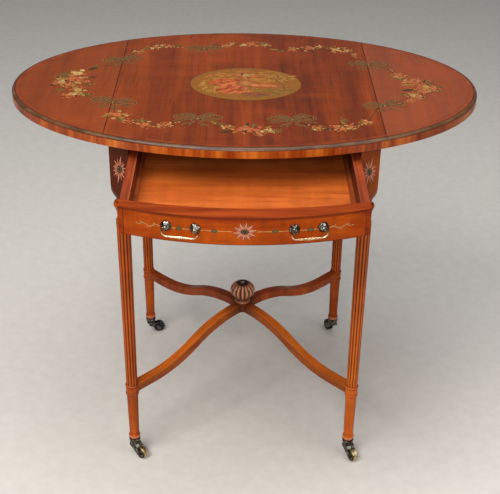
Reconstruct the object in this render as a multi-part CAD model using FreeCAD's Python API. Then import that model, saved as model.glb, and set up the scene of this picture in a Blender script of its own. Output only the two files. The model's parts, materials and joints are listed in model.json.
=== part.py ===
"""Oval drop-leaf occasional table with a bow-fronted frieze drawer, reeded legs and casters.

Frame: millimetres, +Z up, origin on the floor under the middle of the top.
+X runs along the length of the oval, -Y is the drawer side.
It is drawn with both leaves raised and the drawer pulled part of the way out.
"""
import FreeCAD, Part
import math
import os

V = FreeCAD.Vector

# ---- driving dimensions (mm) -------------------------------------------------
TABLE_H = 732.0            # floor to the upper face of the top
TOP_A = 443.0              # half length of the oval
TOP_B = 293.5              # half depth of the oval
TOP_T = 19.5               # thickness of the top
NOSING_R = 6.0             # rounded upper edge of the top
LEAF_LINE = 245.0          # joint line between centre and leaf, from the middle
RULE_STEP = 3.5            # square step above the rule joint's round
PIVOT_RISE = 3.5           # leaf pivot above the underside of the top
JOINT_GAP = 0.4            # air between the two halves of a rule joint

LEG_X = 220.0              # leg axis
LEG_Y = 219.5
BLOCK = 34.0               # square head of the leg
RAIL_BOTTOM = 623.0
REEDS = 12
REED_DEPTH = 1.5
SHAFT_TOP_Z = 545.0
SHAFT_TOP_R = 13.2
SHAFT_LOW_Z = 180.0
SHAFT_LOW_R = 11.3
COLLAR_LOW_Z = 155.0
COLLAR_R = 12.4
COLLAR_BEAD = 5.5          # height of the ring at each end of the collar
ANKLE_Z = 42.0

DRAWER_LOW = 645.0
DRAWER_TOP = 694.0
DRAWER_HALF = 202.3        # half width of the drawer front
DRAWER_SAG = 37.0          # bow of the front over its width
DRAWER_INNER_SAG = 28.0
DRAWER_END_T = 23.0        # thickness of the front at its ends
DRAWER_SIDE_T = 15.0
DRAWER_BACK_Y = 200.0      # closed position of the back's outer face
DRAWER_BOTTOM_T = 6.0
DRAWER_OPEN = 193.0        # how far the drawer stands out
SLIDE_GAP = 0.3            # running gap on flat faces that slide

RAIL_T = 15.0              # inner side rail
OUTER_T = 17.0             # outer side rail and fly bracket
FLY_PIVOT_Y = 100.0
FLY_END_Y = -66.0

ARM_W = 19.5
ARM_H = 18.0
ARM_LEG_Z = 169.0          # middle of the arm where it meets the leg
ARM_MID_Z = 224.7          # middle of the arm at the centre
ARM_FLAT_IN = 21.0         # level stretch from the centre
ARM_FLAT_OUT = 261.0       # where the level stretch to the leg starts
BOSS_R = 17.5
FINIAL_LOBES = 16
FINIAL_DOWEL_R = 5.0
FINIAL_DOWEL_L = 15.0
GROOVE_W = 1.2             # width of the grooves between the finial's lobes

HANDLE_X = 101.5
HANDLE_RISE = 3.0          # handle pivot above the middle of the drawer front
HANDLE_SPACING = 47.0
HANDLE_PROUD = 8.0         # pivot line in front of the drawer
ROSETTE_R = 8.75
POST_R = 3.0
BAIL_WIRE_R = 1.4
BAIL_SWELL_R = 2.0         # radius of the bar beside its middle beads
BAIL_BEAD_R = 2.7
BAIL_BEND_R = 2.2
BAIL_CORNER_R = 9.0
BAIL_DROP = 15.0
PIN_CLEAR = 0.05           # radial clearance of a running pin

WHEEL_R = 13.0
WHEEL_W = 13.0
WHEEL_ROUND = 2.0          # rounded shoulders of the tread
AXLE_R = 2.0
STEM_R = 3.0
TRAIL = 20.0               # swivel axis to wheel axis
CUP_LOW_Z = 30.0
# plan direction from each leg's axis to its wheel
CASTER_WAY = {
    "front_left": (0.76, -0.65),
    "front_right": (0.48, -0.88),
    "rear_left": (0.94, 0.34),
    "rear_right": (-0.38, 0.92),
}

HINGE_Y = 130.0
HINGE_W = 32.0
HINGE_T = 1.8
HINGE_KNUCKLE_R = 3.0
HINGE_PIN_R = 1.5
PLATE_L = 34.0
STRAP_L = 46.0
STRAP_W = 22.0
STRAP_KNUCKLE = 5.7        # half length of the strap's knuckle
PLATE_KNUCKLE = 6.0        # the plate's knuckles start this far from the middle
HINGE_SCREW_L = 13.0
TOP_SCREW_L = 28.0
KICKER_GAP = 0.7           # air between the drawer and the kickers above it
FLY_PIN_R = 2.5
MITRE = 12.0               # reach of the mitred shoulders beside the fly knuckle
CLEAR_OF_ALL = 500.0       # half size of cutting shapes that pass every edge

# ---- values that follow ------------------------------------------------------
UNDERSIDE = TABLE_H - TOP_T
PIVOT_Z = UNDERSIDE + PIVOT_RISE
RULE_R = TOP_T - RULE_STEP - PIVOT_RISE
BLOCK_IN_X = LEG_X - BLOCK / 2
BLOCK_IN_Y = LEG_Y - BLOCK / 2
BLOCK_OUT_Y = LEG_Y + BLOCK / 2
OUTER_IN = BLOCK_IN_X + RAIL_T
OUTER_OUT = OUTER_IN + OUTER_T
FLY_PIVOT_X = OUTER_IN + OUTER_T / 2
KNUCKLE_R = OUTER_T / 2
RAIL_TOP = UNDERSIDE - 0.6
KICKER_Z = DRAWER_TOP + KICKER_GAP
HANDLE_Z = (DRAWER_LOW + DRAWER_TOP) / 2 + HANDLE_RISE
BOTTOM_FACE_Z = DRAWER_LOW + DRAWER_BOTTOM_T
SIDES = {"left": -1, "right": 1}
CORNERS = {
    "front_left": (-1, -1),
    "front_right": (1, -1),
    "rear_left": (-1, 1),
    "rear_right": (1, 1),
}


# ---- helpers -----------------------------------------------------------------
def block(x0, x1, y0, y1, z0, z1):
    """Box from its two corners, whichever order the values come in."""
    low = V(min(x0, x1), min(y0, y1), min(z0, z1))
    return Part.makeBox(abs(x1 - x0), abs(y1 - y0), abs(z1 - z0), low)


def rod(radius, start, end):
    """Cylinder between two points."""
    start = V(*start)
    way = V(*end) - start
    return Part.makeCylinder(radius, way.Length, start, way)


def outline(steps, plane):
    """Closed face. A step is a point, or (middle, end) for an arc through middle."""
    here = V(*plane(*steps[0]))
    first = here
    edges = []
    for step in steps[1:]:
        if isinstance(step[0], tuple):
            middle = V(*plane(*step[0]))
            end = V(*plane(*step[1]))
            edges.append(Part.Arc(here, middle, end).toShape())
        else:
            end = V(*plane(*step))
            edges.append(Part.makeLine(here, end))
        here = end
    if here.distanceToPoint(first) > 1e-6:
        edges.append(Part.makeLine(here, first))
    return Part.Face(Part.Wire(edges))


def turned(steps):
    """Solid of revolution about Z from (radius, z) steps."""
    return outline(steps, lambda r, z: (r, 0, z)).revolve(V(0, 0, 0), V(0, 0, 1), 360)


def bead(r, low, high, proud):
    """Rounded ring for a turned outline: a half round from low to high."""
    return [(r, low), ((r + proud, (low + high) / 2), (r, high))]


def arc_y(x, half, y_end, sag):
    """Depth of a bow through (+-half, y_end) that swells by sag at the middle."""
    radius = (half * half + sag * sag) / (2 * sag)
    return y_end - (math.sqrt(radius * radius - x * x) - (radius - sag))


def bowed(half, y_end, sag, back, z0, z1):
    """Board with a bowed front (towards -Y) and a straight back."""
    face = outline(
        [(-half, back), (-half, y_end), ((0, y_end - sag), (half, y_end)), (half, back)],
        lambda x, y: (x, y, z0),
    )
    return face.extrude(V(0, 0, z1 - z0))


def fuse_all(solids):
    """One solid from several that overlap."""
    return solids[0].multiFuse(solids[1:]).removeSplitter()


def mirrored_y(shape):
    return shape.mirror(V(0, 0, 0), V(0, 1, 0))


def mirrored_x(shape):
    return shape.mirror(V(0, 0, 0), V(1, 0, 0))


def screw(x, y, z, up, length, shank_r=1.6, head_r=3.4):
    """Countersunk screw driven along +Z (up=1) or -Z, head at z."""
    head = Part.makeCone(head_r, shank_r, 2.0, V(x, y, z), V(0, 0, up))
    shank = Part.makeCylinder(shank_r, length, V(x, y, z), V(0, 0, up))
    return head.fuse(shank)


nodes = {}


# ---- legs --------------------------------------------------------------------
def reeded_shaft():
    """Tapering shaft ringed with convex reeds."""
    wires = []
    for z, r in ((SHAFT_LOW_Z, SHAFT_LOW_R), (SHAFT_TOP_Z, SHAFT_TOP_R)):
        valley = r - REED_DEPTH
        edges = []
        for k in range(REEDS):
            a0 = 2 * math.pi * k / REEDS
            a1 = 2 * math.pi * (k + 0.5) / REEDS
            a2 = 2 * math.pi * (k + 1) / REEDS
            p0 = V(valley * math.cos(a0), valley * math.sin(a0), z)
            p1 = V(r * math.cos(a1), r * math.sin(a1), z)
            p2 = V(valley * math.cos(a2), valley * math.sin(a2), z)
            edges.append(Part.Arc(p0, p1, p2).toShape())
        wires.append(Part.Wire(edges))
    return Part.makeLoft(wires, True, True)


def leg():
    """Square head, turned neck, reeded shaft, collar and plain lower part."""
    lower = turned(
        [(0, 34), (8.5, 34), (8.5, ANKLE_Z), (9.4, ANKLE_Z)]
        + bead(9.6, ANKLE_Z + 1, 55, 2.2)
        + [(9.8, 56), (11.4, COLLAR_LOW_Z - 0.5)]
        + bead(11.6, COLLAR_LOW_Z, COLLAR_LOW_Z + COLLAR_BEAD, 1.8)
        + [(COLLAR_R, COLLAR_LOW_Z + COLLAR_BEAD + 0.5), (COLLAR_R, SHAFT_LOW_Z - COLLAR_BEAD - 0.5)]
        + bead(11.6, SHAFT_LOW_Z - COLLAR_BEAD, SHAFT_LOW_Z, 1.8)
        + [(10.5, SHAFT_LOW_Z + 1), (0, SHAFT_LOW_Z + 1)]
    )
    neck = turned(
        [(0, SHAFT_TOP_Z - 1), (12.0, SHAFT_TOP_Z - 1), (12.0, SHAFT_TOP_Z)]
        + bead(12.4, SHAFT_TOP_Z, 549, 1.2)
        + [(11.2, 549.5)]
        + bead(11.2, 550, 557, 2.0)
        + [(10.6, 557.5), ((11.0, 570), (13.6, 580))]
        + bead(13.2, 580.5, 592.5, 2.9)
        + [(11.4, 593), ((10.4, 597), (11.4, 602)), (0, 602)]
    )
    shoulder = turned(
        [(0, 601.5), (11.5, 601.5), ((18, 614), (24.4, 637)), (24.4, UNDERSIDE), (0, UNDERSIDE)]
    )
    half = BLOCK / 2
    head = shoulder.common(block(-half, half, -half, half, 600, UNDERSIDE))
    body = fuse_all([lower, reeded_shaft(), neck, head])
    return body.cut(rod(STEM_R + 1.0, (0, 0, 30), (0, 0, 62)))


leg_shape = leg()
for corner, (sx, sy) in CORNERS.items():
    one = leg_shape.copy()
    one.translate(V(sx * LEG_X, sy * LEG_Y, 0))
    nodes["leg_" + corner] = one


# ---- stretchers and finial ---------------------------------------------------
def arm():
    """One curved arm along +X from the boss to the leg, lifted by two equal arcs."""
    reach = math.hypot(LEG_X, LEG_Y)
    run = (ARM_FLAT_OUT - ARM_FLAT_IN) / 2
    rise = (ARM_MID_Z - ARM_LEG_Z) / 2
    turn = 2 * math.atan2(rise, run)
    radius = run / math.sin(turn)
    h = ARM_H / 2
    crest = (ARM_FLAT_IN, ARM_MID_Z - radius)
    foot = (ARM_FLAT_OUT, ARM_LEG_Z + radius)

    def on(centre, r, angle):
        return (centre[0] + r * math.sin(angle), centre[1] + r * math.cos(angle))

    face = outline(
        [
            (0, ARM_MID_Z + h),
            on(crest, radius + h, 0),
            (on(crest, radius + h, turn / 2), on(crest, radius + h, turn)),
            (on(foot, radius - h, math.pi + turn / 2), on(foot, radius - h, math.pi)),
            (reach, ARM_LEG_Z + h),
            (reach, ARM_LEG_Z - h),
            on(foot, radius + h, math.pi),
            (on(foot, radius + h, math.pi + turn / 2), on(foot, radius + h, math.pi + turn)),
            (on(crest, radius - h, turn / 2), on(crest, radius - h, 0)),
            (0, ARM_MID_Z - h),
        ],
        lambda x, z: (x, -ARM_W / 2, z),
    )
    bar = face.extrude(V(0, ARM_W, 0))
    long_edges = []
    for edge in bar.Edges:
        box = edge.BoundBox
        if box.YLength < 1e-6 and box.XLength > 5:
            long_edges.append(edge)
    bar = bar.makeChamfer(1.2, long_edges)
    bar = bar.cut(rod(BOSS_R, (0, 0, 0), (0, 0, TABLE_H)))
    post = leg_shape.copy()
    post.translate(V(reach, 0, 0))
    return bar.cut(post)


arm_shape = arm()
for corner, (sx, sy) in CORNERS.items():
    one = arm_shape.copy()
    one.rotate(V(0, 0, 0), V(0, 0, 1), math.degrees(math.atan2(sy * LEG_Y, sx * LEG_X)))
    nodes["stretcher_arm_" + corner] = one

boss_low = ARM_MID_Z - ARM_H / 2
boss_high = ARM_MID_Z + ARM_H / 2
boss = turned(
    [(0, boss_low), (BOSS_R - 1, boss_low), (BOSS_R, boss_low + 1), (BOSS_R, boss_high - 1),
     (BOSS_R - 1, boss_high), (0, boss_high)]
)
nodes["stretcher_boss"] = boss.cut(rod(FINIAL_DOWEL_R, (0, 0, boss_low - 1), (0, 0, boss_high + 1)))


def finial():
    """Ring, short neck and a lobed melon with a hollow crown, on a dowel; drawn from z=0 up."""
    body = turned(
        [
            (0, -FINIAL_DOWEL_L), (FINIAL_DOWEL_R, -FINIAL_DOWEL_L), (FINIAL_DOWEL_R, 0), (13.0, 0),
            ((16.2, 3.3), (13.0, 6.6)),
            (12.0, 7.8), (12.5, 10.8), (13.5, 11.8),
            ((24.6, 18.8), (26.4, 28.8)),
            ((23.0, 41.3), (13.5, 46.8)),
            ((9.5, 45.8), (7.5, 40.3)),
            (0, 39.3),
        ]
    )
    grooves = []
    for k in range(FINIAL_LOBES):
        groove = outline(
            [(13.4, 10.6), ((25.8, 17.6), (27.8, 28.8)), ((24.3, 42.4), (13.6, 48.4)), (13.6, 45.7),
             ((21.6, 40.1), (24.8, 28.8)), ((23.3, 19.9), (13.6, 13.2))],
            lambda r, z: (r, -GROOVE_W / 2, z),
        ).extrude(V(0, GROOVE_W, 0))
        groove.rotate(V(0, 0, 0), V(0, 0, 1), 360.0 * k / FINIAL_LOBES)
        grooves.append(groove)
    return body.cut(Part.makeCompound(grooves))


finial_solid = finial()
finial_solid.translate(V(0, 0, boss_high))
nodes["finial"] = finial_solid


# ---- top and leaves ----------------------------------------------------------
def oval_slab():
    """The whole oval with its rounded upper edge."""
    ellipse = Part.Ellipse(V(0, 0, UNDERSIDE), TOP_A, TOP_B).toShape()
    slab = Part.Face(Part.Wire([ellipse])).extrude(V(0, 0, TOP_T))
    upper = []
    for edge in slab.Edges:
        box = edge.BoundBox
        if box.ZLength < 1e-3 and box.ZMax > TABLE_H - 0.01:
            upper.append(edge)
    slab = slab.makeFillet(NOSING_R, upper)
    lower = []
    for edge in slab.Edges:
        box = edge.BoundBox
        if box.ZLength < 1e-3 and box.ZMax < UNDERSIDE + 0.01:
            lower.append(edge)
    return slab.makeChamfer(1.0, lower)


def rule_joint_section(radius, gap):
    """Points of the joint from the upper face down: step, round, underside."""
    step = (LEAF_LINE + gap, PIVOT_Z + math.sqrt(radius * radius - gap * gap))
    diagonal = radius * math.sqrt(0.5)
    return step, (LEAF_LINE + diagonal, PIVOT_Z + diagonal)


def centre_region():
    step, middle = rule_joint_section(RULE_R, 0.0)
    foot = (LEAF_LINE + math.sqrt(RULE_R ** 2 - PIVOT_RISE ** 2), UNDERSIDE)
    above = TABLE_H + 5
    below = UNDERSIDE - 5
    face = outline(
        [
            (LEAF_LINE, above), step, (middle, foot), (foot[0], below),
            (-foot[0], below), (-foot[0], foot[1]),
            ((-middle[0], middle[1]), (-step[0], step[1])), (-LEAF_LINE, above),
        ],
        lambda x, z: (x, -CLEAR_OF_ALL, z),
    )
    return face.extrude(V(0, 2 * CLEAR_OF_ALL, 0))


def leaf_region():
    radius = RULE_R + JOINT_GAP
    step, middle = rule_joint_section(radius, JOINT_GAP)
    face = outline(
        [
            (step[0], TABLE_H + 5), step, (middle, (LEAF_LINE + radius, PIVOT_Z)),
            (LEAF_LINE + radius, UNDERSIDE - 5), (TOP_A + 20, UNDERSIDE - 5), (TOP_A + 20, TABLE_H + 5),
        ],
        lambda x, z: (x, -CLEAR_OF_ALL, z),
    )
    return face.extrude(V(0, 2 * CLEAR_OF_ALL, 0))


def hinge_plate():
    """Fixed half of a table hinge on the right side, centred on y=0."""
    top = UNDERSIDE + HINGE_T
    half = HINGE_W / 2
    x_in = LEAF_LINE - PLATE_L
    plate = block(x_in, LEAF_LINE - 5.5, -half, half, UNDERSIDE, top)
    parts = [plate]
    for y0, y1 in ((-half, -PLATE_KNUCKLE), (PLATE_KNUCKLE, half)):
        parts.append(block(LEAF_LINE - 6, LEAF_LINE, y0, y1, UNDERSIDE, top))
        parts.append(rod(HINGE_KNUCKLE_R, (LEAF_LINE, y0, PIVOT_Z), (LEAF_LINE, y1, PIVOT_Z)))
    plate = fuse_all(parts)
    return plate.cut(rod(HINGE_PIN_R, (LEAF_LINE, -half, PIVOT_Z), (LEAF_LINE, half, PIVOT_Z)))


def hinge_strap():
    """Moving half: one knuckle and a strap to the leaf."""
    top = UNDERSIDE + HINGE_T
    w = STRAP_KNUCKLE
    knuckle = rod(HINGE_KNUCKLE_R, (LEAF_LINE, -w, PIVOT_Z), (LEAF_LINE, w, PIVOT_Z))
    neck = block(LEAF_LINE, LEAF_LINE + 6, -w, w, UNDERSIDE, top)
    web = block(LEAF_LINE - 1.2, LEAF_LINE + 1.2, -w, w, UNDERSIDE, UNDERSIDE + 3)
    strap = block(LEAF_LINE + 5, LEAF_LINE + STRAP_L, -STRAP_W / 2, STRAP_W / 2, UNDERSIDE, top)
    solid = fuse_all([knuckle, neck, web, strap])
    hole_r = HINGE_PIN_R + PIN_CLEAR
    return solid.cut(rod(hole_r, (LEAF_LINE, -7, PIVOT_Z), (LEAF_LINE, 7, PIVOT_Z)))


slab = oval_slab()
centre = slab.common(centre_region())
leaf = slab.common(leaf_region())

half_w = HINGE_W / 2
plate_at = hinge_plate()
strap_at = hinge_strap()
pin_at = rod(HINGE_PIN_R, (LEAF_LINE, -half_w, PIVOT_Z), (LEAF_LINE, half_w, PIVOT_Z))
plate_screw_xy = [(LEAF_LINE - 27, -9), (LEAF_LINE - 27, 9), (LEAF_LINE - 14, 0)]
strap_screw_xy = [(LEAF_LINE + 25, -5), (LEAF_LINE + 33, 5), (LEAF_LINE + 41, -5)]

plates = []
straps = []
pins = []
plate_screws = []
strap_screws = []
for sy in (-1, 1):
    y = sy * HINGE_Y
    # recess for the fixed plate, the knuckle pocket and the sweep of the strap
    centre = centre.cut(block(LEAF_LINE - PLATE_L, LEAF_LINE, y - half_w, y + half_w,
                              UNDERSIDE - 1, UNDERSIDE + HINGE_T))
    centre = centre.cut(block(LEAF_LINE - 5.2, LEAF_LINE + 5.2, y - half_w - 0.4, y + half_w + 0.4,
                              UNDERSIDE - 1, PIVOT_Z + 3.6))
    centre = centre.cut(block(LEAF_LINE, LEAF_LINE + RULE_R + 2, y - STRAP_W / 2 - 0.4,
                              y + STRAP_W / 2 + 0.4, UNDERSIDE - 1, UNDERSIDE + HINGE_T + 0.5))
    leaf = leaf.cut(block(LEAF_LINE, LEAF_LINE + STRAP_L, y - STRAP_W / 2, y + STRAP_W / 2,
                          UNDERSIDE - 1, UNDERSIDE + HINGE_T))
    for group, shape in ((plates, plate_at), (straps, strap_at), (pins, pin_at)):
        one = shape.copy()
        one.translate(V(0, y, 0))
        group.append(one)
    plate_screws += [screw(px, y + py, UNDERSIDE, 1, HINGE_SCREW_L) for px, py in plate_screw_xy]
    strap_screws += [screw(px, y + py, UNDERSIDE, 1, HINGE_SCREW_L) for px, py in strap_screw_xy]

plate_screw_set = Part.makeCompound(plate_screws)
strap_screw_set = Part.makeCompound(strap_screws)
plate_set = Part.makeCompound([p.cut(plate_screw_set) for p in plates])
strap_set = Part.makeCompound([s.cut(strap_screw_set) for s in straps])
centre = centre.cut(plate_screw_set)
leaf = leaf.cut(strap_screw_set)

# the right half of the centre is worked above; the left half is its mirror image
right_half = centre.common(block(0, CLEAR_OF_ALL, -CLEAR_OF_ALL, CLEAR_OF_ALL, 0, 2 * CLEAR_OF_ALL))
centre = right_half.fuse(mirrored_x(right_half)).removeSplitter()

nodes["leaf_right"] = leaf
nodes["leaf_left"] = mirrored_x(leaf)
nodes["hinge_plates_right"] = plate_set
nodes["hinge_plates_left"] = mirrored_x(plate_set)
nodes["hinge_straps_right"] = strap_set
nodes["hinge_straps_left"] = mirrored_x(strap_set)
nodes["strap_screws_right"] = strap_screw_set
nodes["strap_screws_left"] = mirrored_x(strap_screw_set)
pin_set = Part.makeCompound(pins)
nodes["hinge_pins"] = Part.makeCompound([pin_set, mirrored_x(pin_set)])
nodes["hinge_plate_screws"] = Part.makeCompound([plate_screw_set, mirrored_x(plate_screw_set)])


# ---- side rails and fly brackets ---------------------------------------------
def side_rails():
    """Inner rail, fixed outer rail, fly bracket and its pin on the right side."""
    px, py = FLY_PIVOT_X, FLY_PIVOT_Y
    inner = block(BLOCK_IN_X, OUTER_IN, -BLOCK_IN_Y, BLOCK_IN_Y, RAIL_BOTTOM, UNDERSIDE)
    gap = JOINT_GAP
    bevel = OUTER_T * math.tan(math.radians(30))

    def level(steps):
        face = outline(steps, lambda x, y: (x, y, RAIL_BOTTOM))
        return face.extrude(V(0, 0, RAIL_TOP - RAIL_BOTTOM))

    def upright(radius):
        return rod(radius, (px, py, RAIL_BOTTOM - 1), (px, py, RAIL_TOP + 1))

    front = level([(OUTER_IN, -BLOCK_IN_Y), (OUTER_OUT, -BLOCK_IN_Y), (OUTER_OUT, FLY_END_Y - bevel),
                   (OUTER_IN, FLY_END_Y)])
    rear = level([(OUTER_IN, py), (OUTER_OUT, py), (OUTER_OUT, BLOCK_IN_Y), (OUTER_IN, BLOCK_IN_Y)])
    fly = level([(OUTER_IN + gap, FLY_END_Y + 1.5), (OUTER_OUT, FLY_END_Y + 1.5 - bevel), (OUTER_OUT, py),
                 (OUTER_IN + gap, py)])
    # a finger grip scooped out of the lower edge of the free end
    fly = fly.cut(rod(14, (OUTER_IN - 5, FLY_END_Y + 26, RAIL_BOTTOM - 4),
                      (OUTER_OUT + 5, FLY_END_Y + 26, RAIL_BOTTOM - 4)))
    outer_round = rod(KNUCKLE_R, (px, py, RAIL_BOTTOM), (px, py, RAIL_TOP))
    inner_round = rod(KNUCKLE_R - gap, (px, py, RAIL_BOTTOM), (px, py, RAIL_TOP))
    square = block(OUTER_IN - 1, OUTER_OUT + 1, py - KNUCKLE_R - 1, py + KNUCKLE_R + 1,
                   RAIL_BOTTOM - 1, RAIL_TOP + 1)
    fly_body = fly.cut(square)
    fly_link = fly.common(square).cut(upright(KNUCKLE_R + gap))
    rear_body = rear.cut(square)
    rear_link = rear.common(square).cut(upright(KNUCKLE_R + gap))
    fingers = 5
    pitch = (RAIL_TOP - RAIL_BOTTOM) / fingers
    fly_parts = [fly_body, fly_link]
    rear_parts = [rear_body, rear_link]
    for k in range(fingers):
        z0 = RAIL_BOTTOM + k * pitch + (0.2 if k else 0)
        z1 = RAIL_BOTTOM + (k + 1) * pitch - (0.2 if k < fingers - 1 else 0)
        band = block(OUTER_IN - 1, OUTER_OUT + 1, py - 30, py + 30, z0, z1)
        if k % 2 == 0:
            rear_parts.append(outer_round.common(band))
            rear_parts.append(block(OUTER_IN, OUTER_OUT, py, py + KNUCKLE_R + 2, z0, z1))
        else:
            fly_parts.append(inner_round.common(band))
            fly_parts.append(block(OUTER_IN + gap, OUTER_OUT - gap, py - KNUCKLE_R - 2, py, z0, z1))
    fly_solid = fuse_all(fly_parts).cut(upright(FLY_PIN_R + PIN_CLEAR))
    rear_solid = fuse_all(rear_parts).cut(upright(FLY_PIN_R))
    # mitred shoulders on the outer side let the bracket open square to the rail
    for way in (-1, 1):
        corner = outline(
            [(px, py), (px, py + way * gap), (px + MITRE, py + way * (MITRE + gap)), (px + MITRE, py)],
            lambda x, y: (x, y, RAIL_BOTTOM - 1),
        ).extrude(V(0, 0, RAIL_TOP - RAIL_BOTTOM + 2))
        if way < 0:
            fly_solid = fly_solid.cut(corner.cut(upright(KNUCKLE_R - gap)))
        else:
            rear_solid = rear_solid.cut(corner.cut(upright(KNUCKLE_R)))
    pin = rod(FLY_PIN_R, (px, py, RAIL_BOTTOM), (px, py, RAIL_TOP))
    return inner, Part.makeCompound([front, rear_solid]), fly_solid, pin


inner_rail, outer_rail, fly_bracket, fly_pin = side_rails()
nodes["inner_rail_right"] = inner_rail
nodes["inner_rail_left"] = mirrored_x(inner_rail)
nodes["outer_rail_right"] = outer_rail
nodes["outer_rail_left"] = mirrored_x(outer_rail)
nodes["fly_right"] = fly_bracket
nodes["fly_left"] = mirrored_x(fly_bracket)
nodes["fly_pins"] = Part.makeCompound([fly_pin, mirrored_x(fly_pin)])

# ---- front rails, rear frieze and drawer bearers -----------------------------
bow_end = -(BLOCK_OUT_Y - 1.0)
rail_half = BLOCK_IN_X
nodes["front_bottom_rail"] = bowed(rail_half, bow_end, DRAWER_SAG, -BLOCK_IN_Y,
                                   RAIL_BOTTOM, DRAWER_LOW - SLIDE_GAP)
nodes["front_top_rail"] = block(-rail_half, rail_half, -BLOCK_OUT_Y + 12, -BLOCK_IN_Y,
                                KICKER_Z, UNDERSIDE)
nodes["rear_frieze"] = mirrored_y(bowed(rail_half, bow_end, DRAWER_SAG, -BLOCK_IN_Y,
                                        RAIL_BOTTOM, UNDERSIDE))
runner_in = BLOCK_IN_X - 28
runner = block(runner_in, BLOCK_IN_X, -BLOCK_IN_Y, BLOCK_IN_Y, RAIL_BOTTOM + 4, DRAWER_LOW - SLIDE_GAP)
nodes["drawer_runners"] = Part.makeCompound([runner, mirrored_x(runner)])
kicker = block(runner_in, BLOCK_IN_X, -BLOCK_IN_Y, BLOCK_IN_Y, KICKER_Z, UNDERSIDE)
kicker_set = Part.makeCompound([kicker, mirrored_x(kicker)])

# pocket screws through the kickers into the top, and rubbed glue blocks
top_screw_list = []
for sx in (-1, 1):
    for y in (-170.0, 0.0, 170.0):
        top_screw_list.append(screw(sx * (BLOCK_IN_X - 14), y, KICKER_Z, 1, TOP_SCREW_L))
top_screws = Part.makeCompound(top_screw_list)
nodes["top_screws"] = top_screws
nodes["drawer_kickers"] = Part.makeCompound([s.cut(top_screws) for s in kicker_set.Solids])
nodes["top_centre"] = centre.cut(top_screws)

glue = []
for sx in (-1, 1):
    for x in (60.0, 140.0):
        corner_block = outline(
            [(BLOCK_IN_Y, UNDERSIDE), (BLOCK_IN_Y, UNDERSIDE - 13), (BLOCK_IN_Y - 13, UNDERSIDE)],
            lambda y, z: (0, y, z),
        ).extrude(V(36, 0, 0))
        corner_block.translate(V(sx * x - 18, 0, 0))
        glue.append(corner_block)
nodes["glue_blocks"] = Part.makeCompound(glue)


# ---- drawer ------------------------------------------------------------------
def drawer_front():
    y_end = -BLOCK_OUT_Y
    back_end = y_end + DRAWER_END_T
    face = outline(
        [
            (-DRAWER_HALF, y_end),
            ((0, y_end - DRAWER_SAG), (DRAWER_HALF, y_end)),
            (DRAWER_HALF, back_end),
            ((0, back_end - DRAWER_INNER_SAG), (-DRAWER_HALF, back_end)),
        ],
        lambda x, y: (x, y, DRAWER_LOW),
    )
    return face.extrude(V(0, 0, DRAWER_TOP - DRAWER_LOW))


def drawer_side():
    """Right side with a bead worked along the inner arris of its upper edge."""
    outer = DRAWER_HALF - 0.6
    inner = outer - DRAWER_SIDE_T
    y0 = -BLOCK_OUT_Y + DRAWER_END_T
    top = DRAWER_TOP - 0.6
    side = block(inner, outer, y0 - 8, DRAWER_BACK_Y, DRAWER_LOW, top)
    side = side.cut(block(inner + 4.2, inner + 5.2, y0 - 20, DRAWER_BACK_Y + 1, top - 1.0, top + 1))
    side = side.cut(front_solid)
    tongue = block(inner, inner + 5, y0 - 30, DRAWER_BACK_Y + 1, DRAWER_LOW, BOTTOM_FACE_Z)
    return side.cut(tongue)


front_solid = drawer_front()
side_in = DRAWER_HALF - 0.6 - DRAWER_SIDE_T
side_solid = drawer_side()
drawer_y0 = -BLOCK_OUT_Y + DRAWER_END_T
back_solid = block(-side_in, side_in, DRAWER_BACK_Y - 12, DRAWER_BACK_Y, BOTTOM_FACE_Z, DRAWER_TOP - 6)
bottom_half = side_in + 5
bottom_solid = bowed(bottom_half, drawer_y0, 23.0, DRAWER_BACK_Y, DRAWER_LOW + 0.6, BOTTOM_FACE_Z)
bottom_solid = bottom_solid.cut(front_solid)
slip_r = 7.0
slip = outline(
    [(side_in, BOTTOM_FACE_Z), (side_in, BOTTOM_FACE_Z + slip_r),
     ((side_in - slip_r * math.sqrt(0.5), BOTTOM_FACE_Z + slip_r * math.sqrt(0.5)),
      (side_in - slip_r, BOTTOM_FACE_Z))],
    lambda x, z: (x, drawer_y0 - 8, z),
).extrude(V(0, DRAWER_BACK_Y - 12 - (drawer_y0 - 8), 0))
slip = slip.cut(front_solid)


def handle_frame(shape, side, rear):
    """Place a handle part, drawn at the origin with -Y outward, on the bowed front."""
    x = side * HANDLE_X
    radius = (DRAWER_HALF ** 2 + DRAWER_SAG ** 2) / (2 * DRAWER_SAG)
    y = arc_y(x, DRAWER_HALF, -BLOCK_OUT_Y, DRAWER_SAG)
    placed = shape.copy()
    placed.rotate(V(0, 0, 0), V(0, 0, 1), math.degrees(math.asin(x / radius)))
    placed.translate(V(x, y, HANDLE_Z))
    if rear:
        placed = placed.rotate(V(0, 0, 0), V(0, 0, 1), 180)
    return placed


def rosette(side):
    """Faceted domed boss whose post is bored from its outer side for the bail."""
    dome = turned(
        [(0, -1.5), (ROSETTE_R, -1.5), (ROSETTE_R, 1.0), ((7.2, 4.0), (4.2, 5.6)),
         (POST_R, 6.2), (POST_R, 9.9), ((2.5, 11.1), (1.3, 11.6)), (0, 11.6)]
    )
    facets = []
    for k in range(8):
        facet = block(-6, 6, 0, 6, 0, 12)
        facet.rotate(V(0, 0, 0), V(1, 0, 0), 38)
        facet.translate(V(0, ROSETTE_R - 0.9, 1.3))
        facet.rotate(V(0, 0, 0), V(0, 0, 1), 45.0 * k)
        facets.append(facet)
    dome = dome.cut(Part.makeCompound(facets))
    bore = rod(BAIL_WIRE_R + PIN_CLEAR, (-2.0, 0, HANDLE_PROUD), (6.0, 0, HANDLE_PROUD))
    dome = dome.cut(bore)
    dome.rotate(V(0, 0, 0), V(1, 0, 0), 90)
    if side < 0:
        dome = mirrored_x(dome)
    dome.translate(V(side * HANDLE_SPACING / 2, 0, 0))
    return dome


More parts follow.
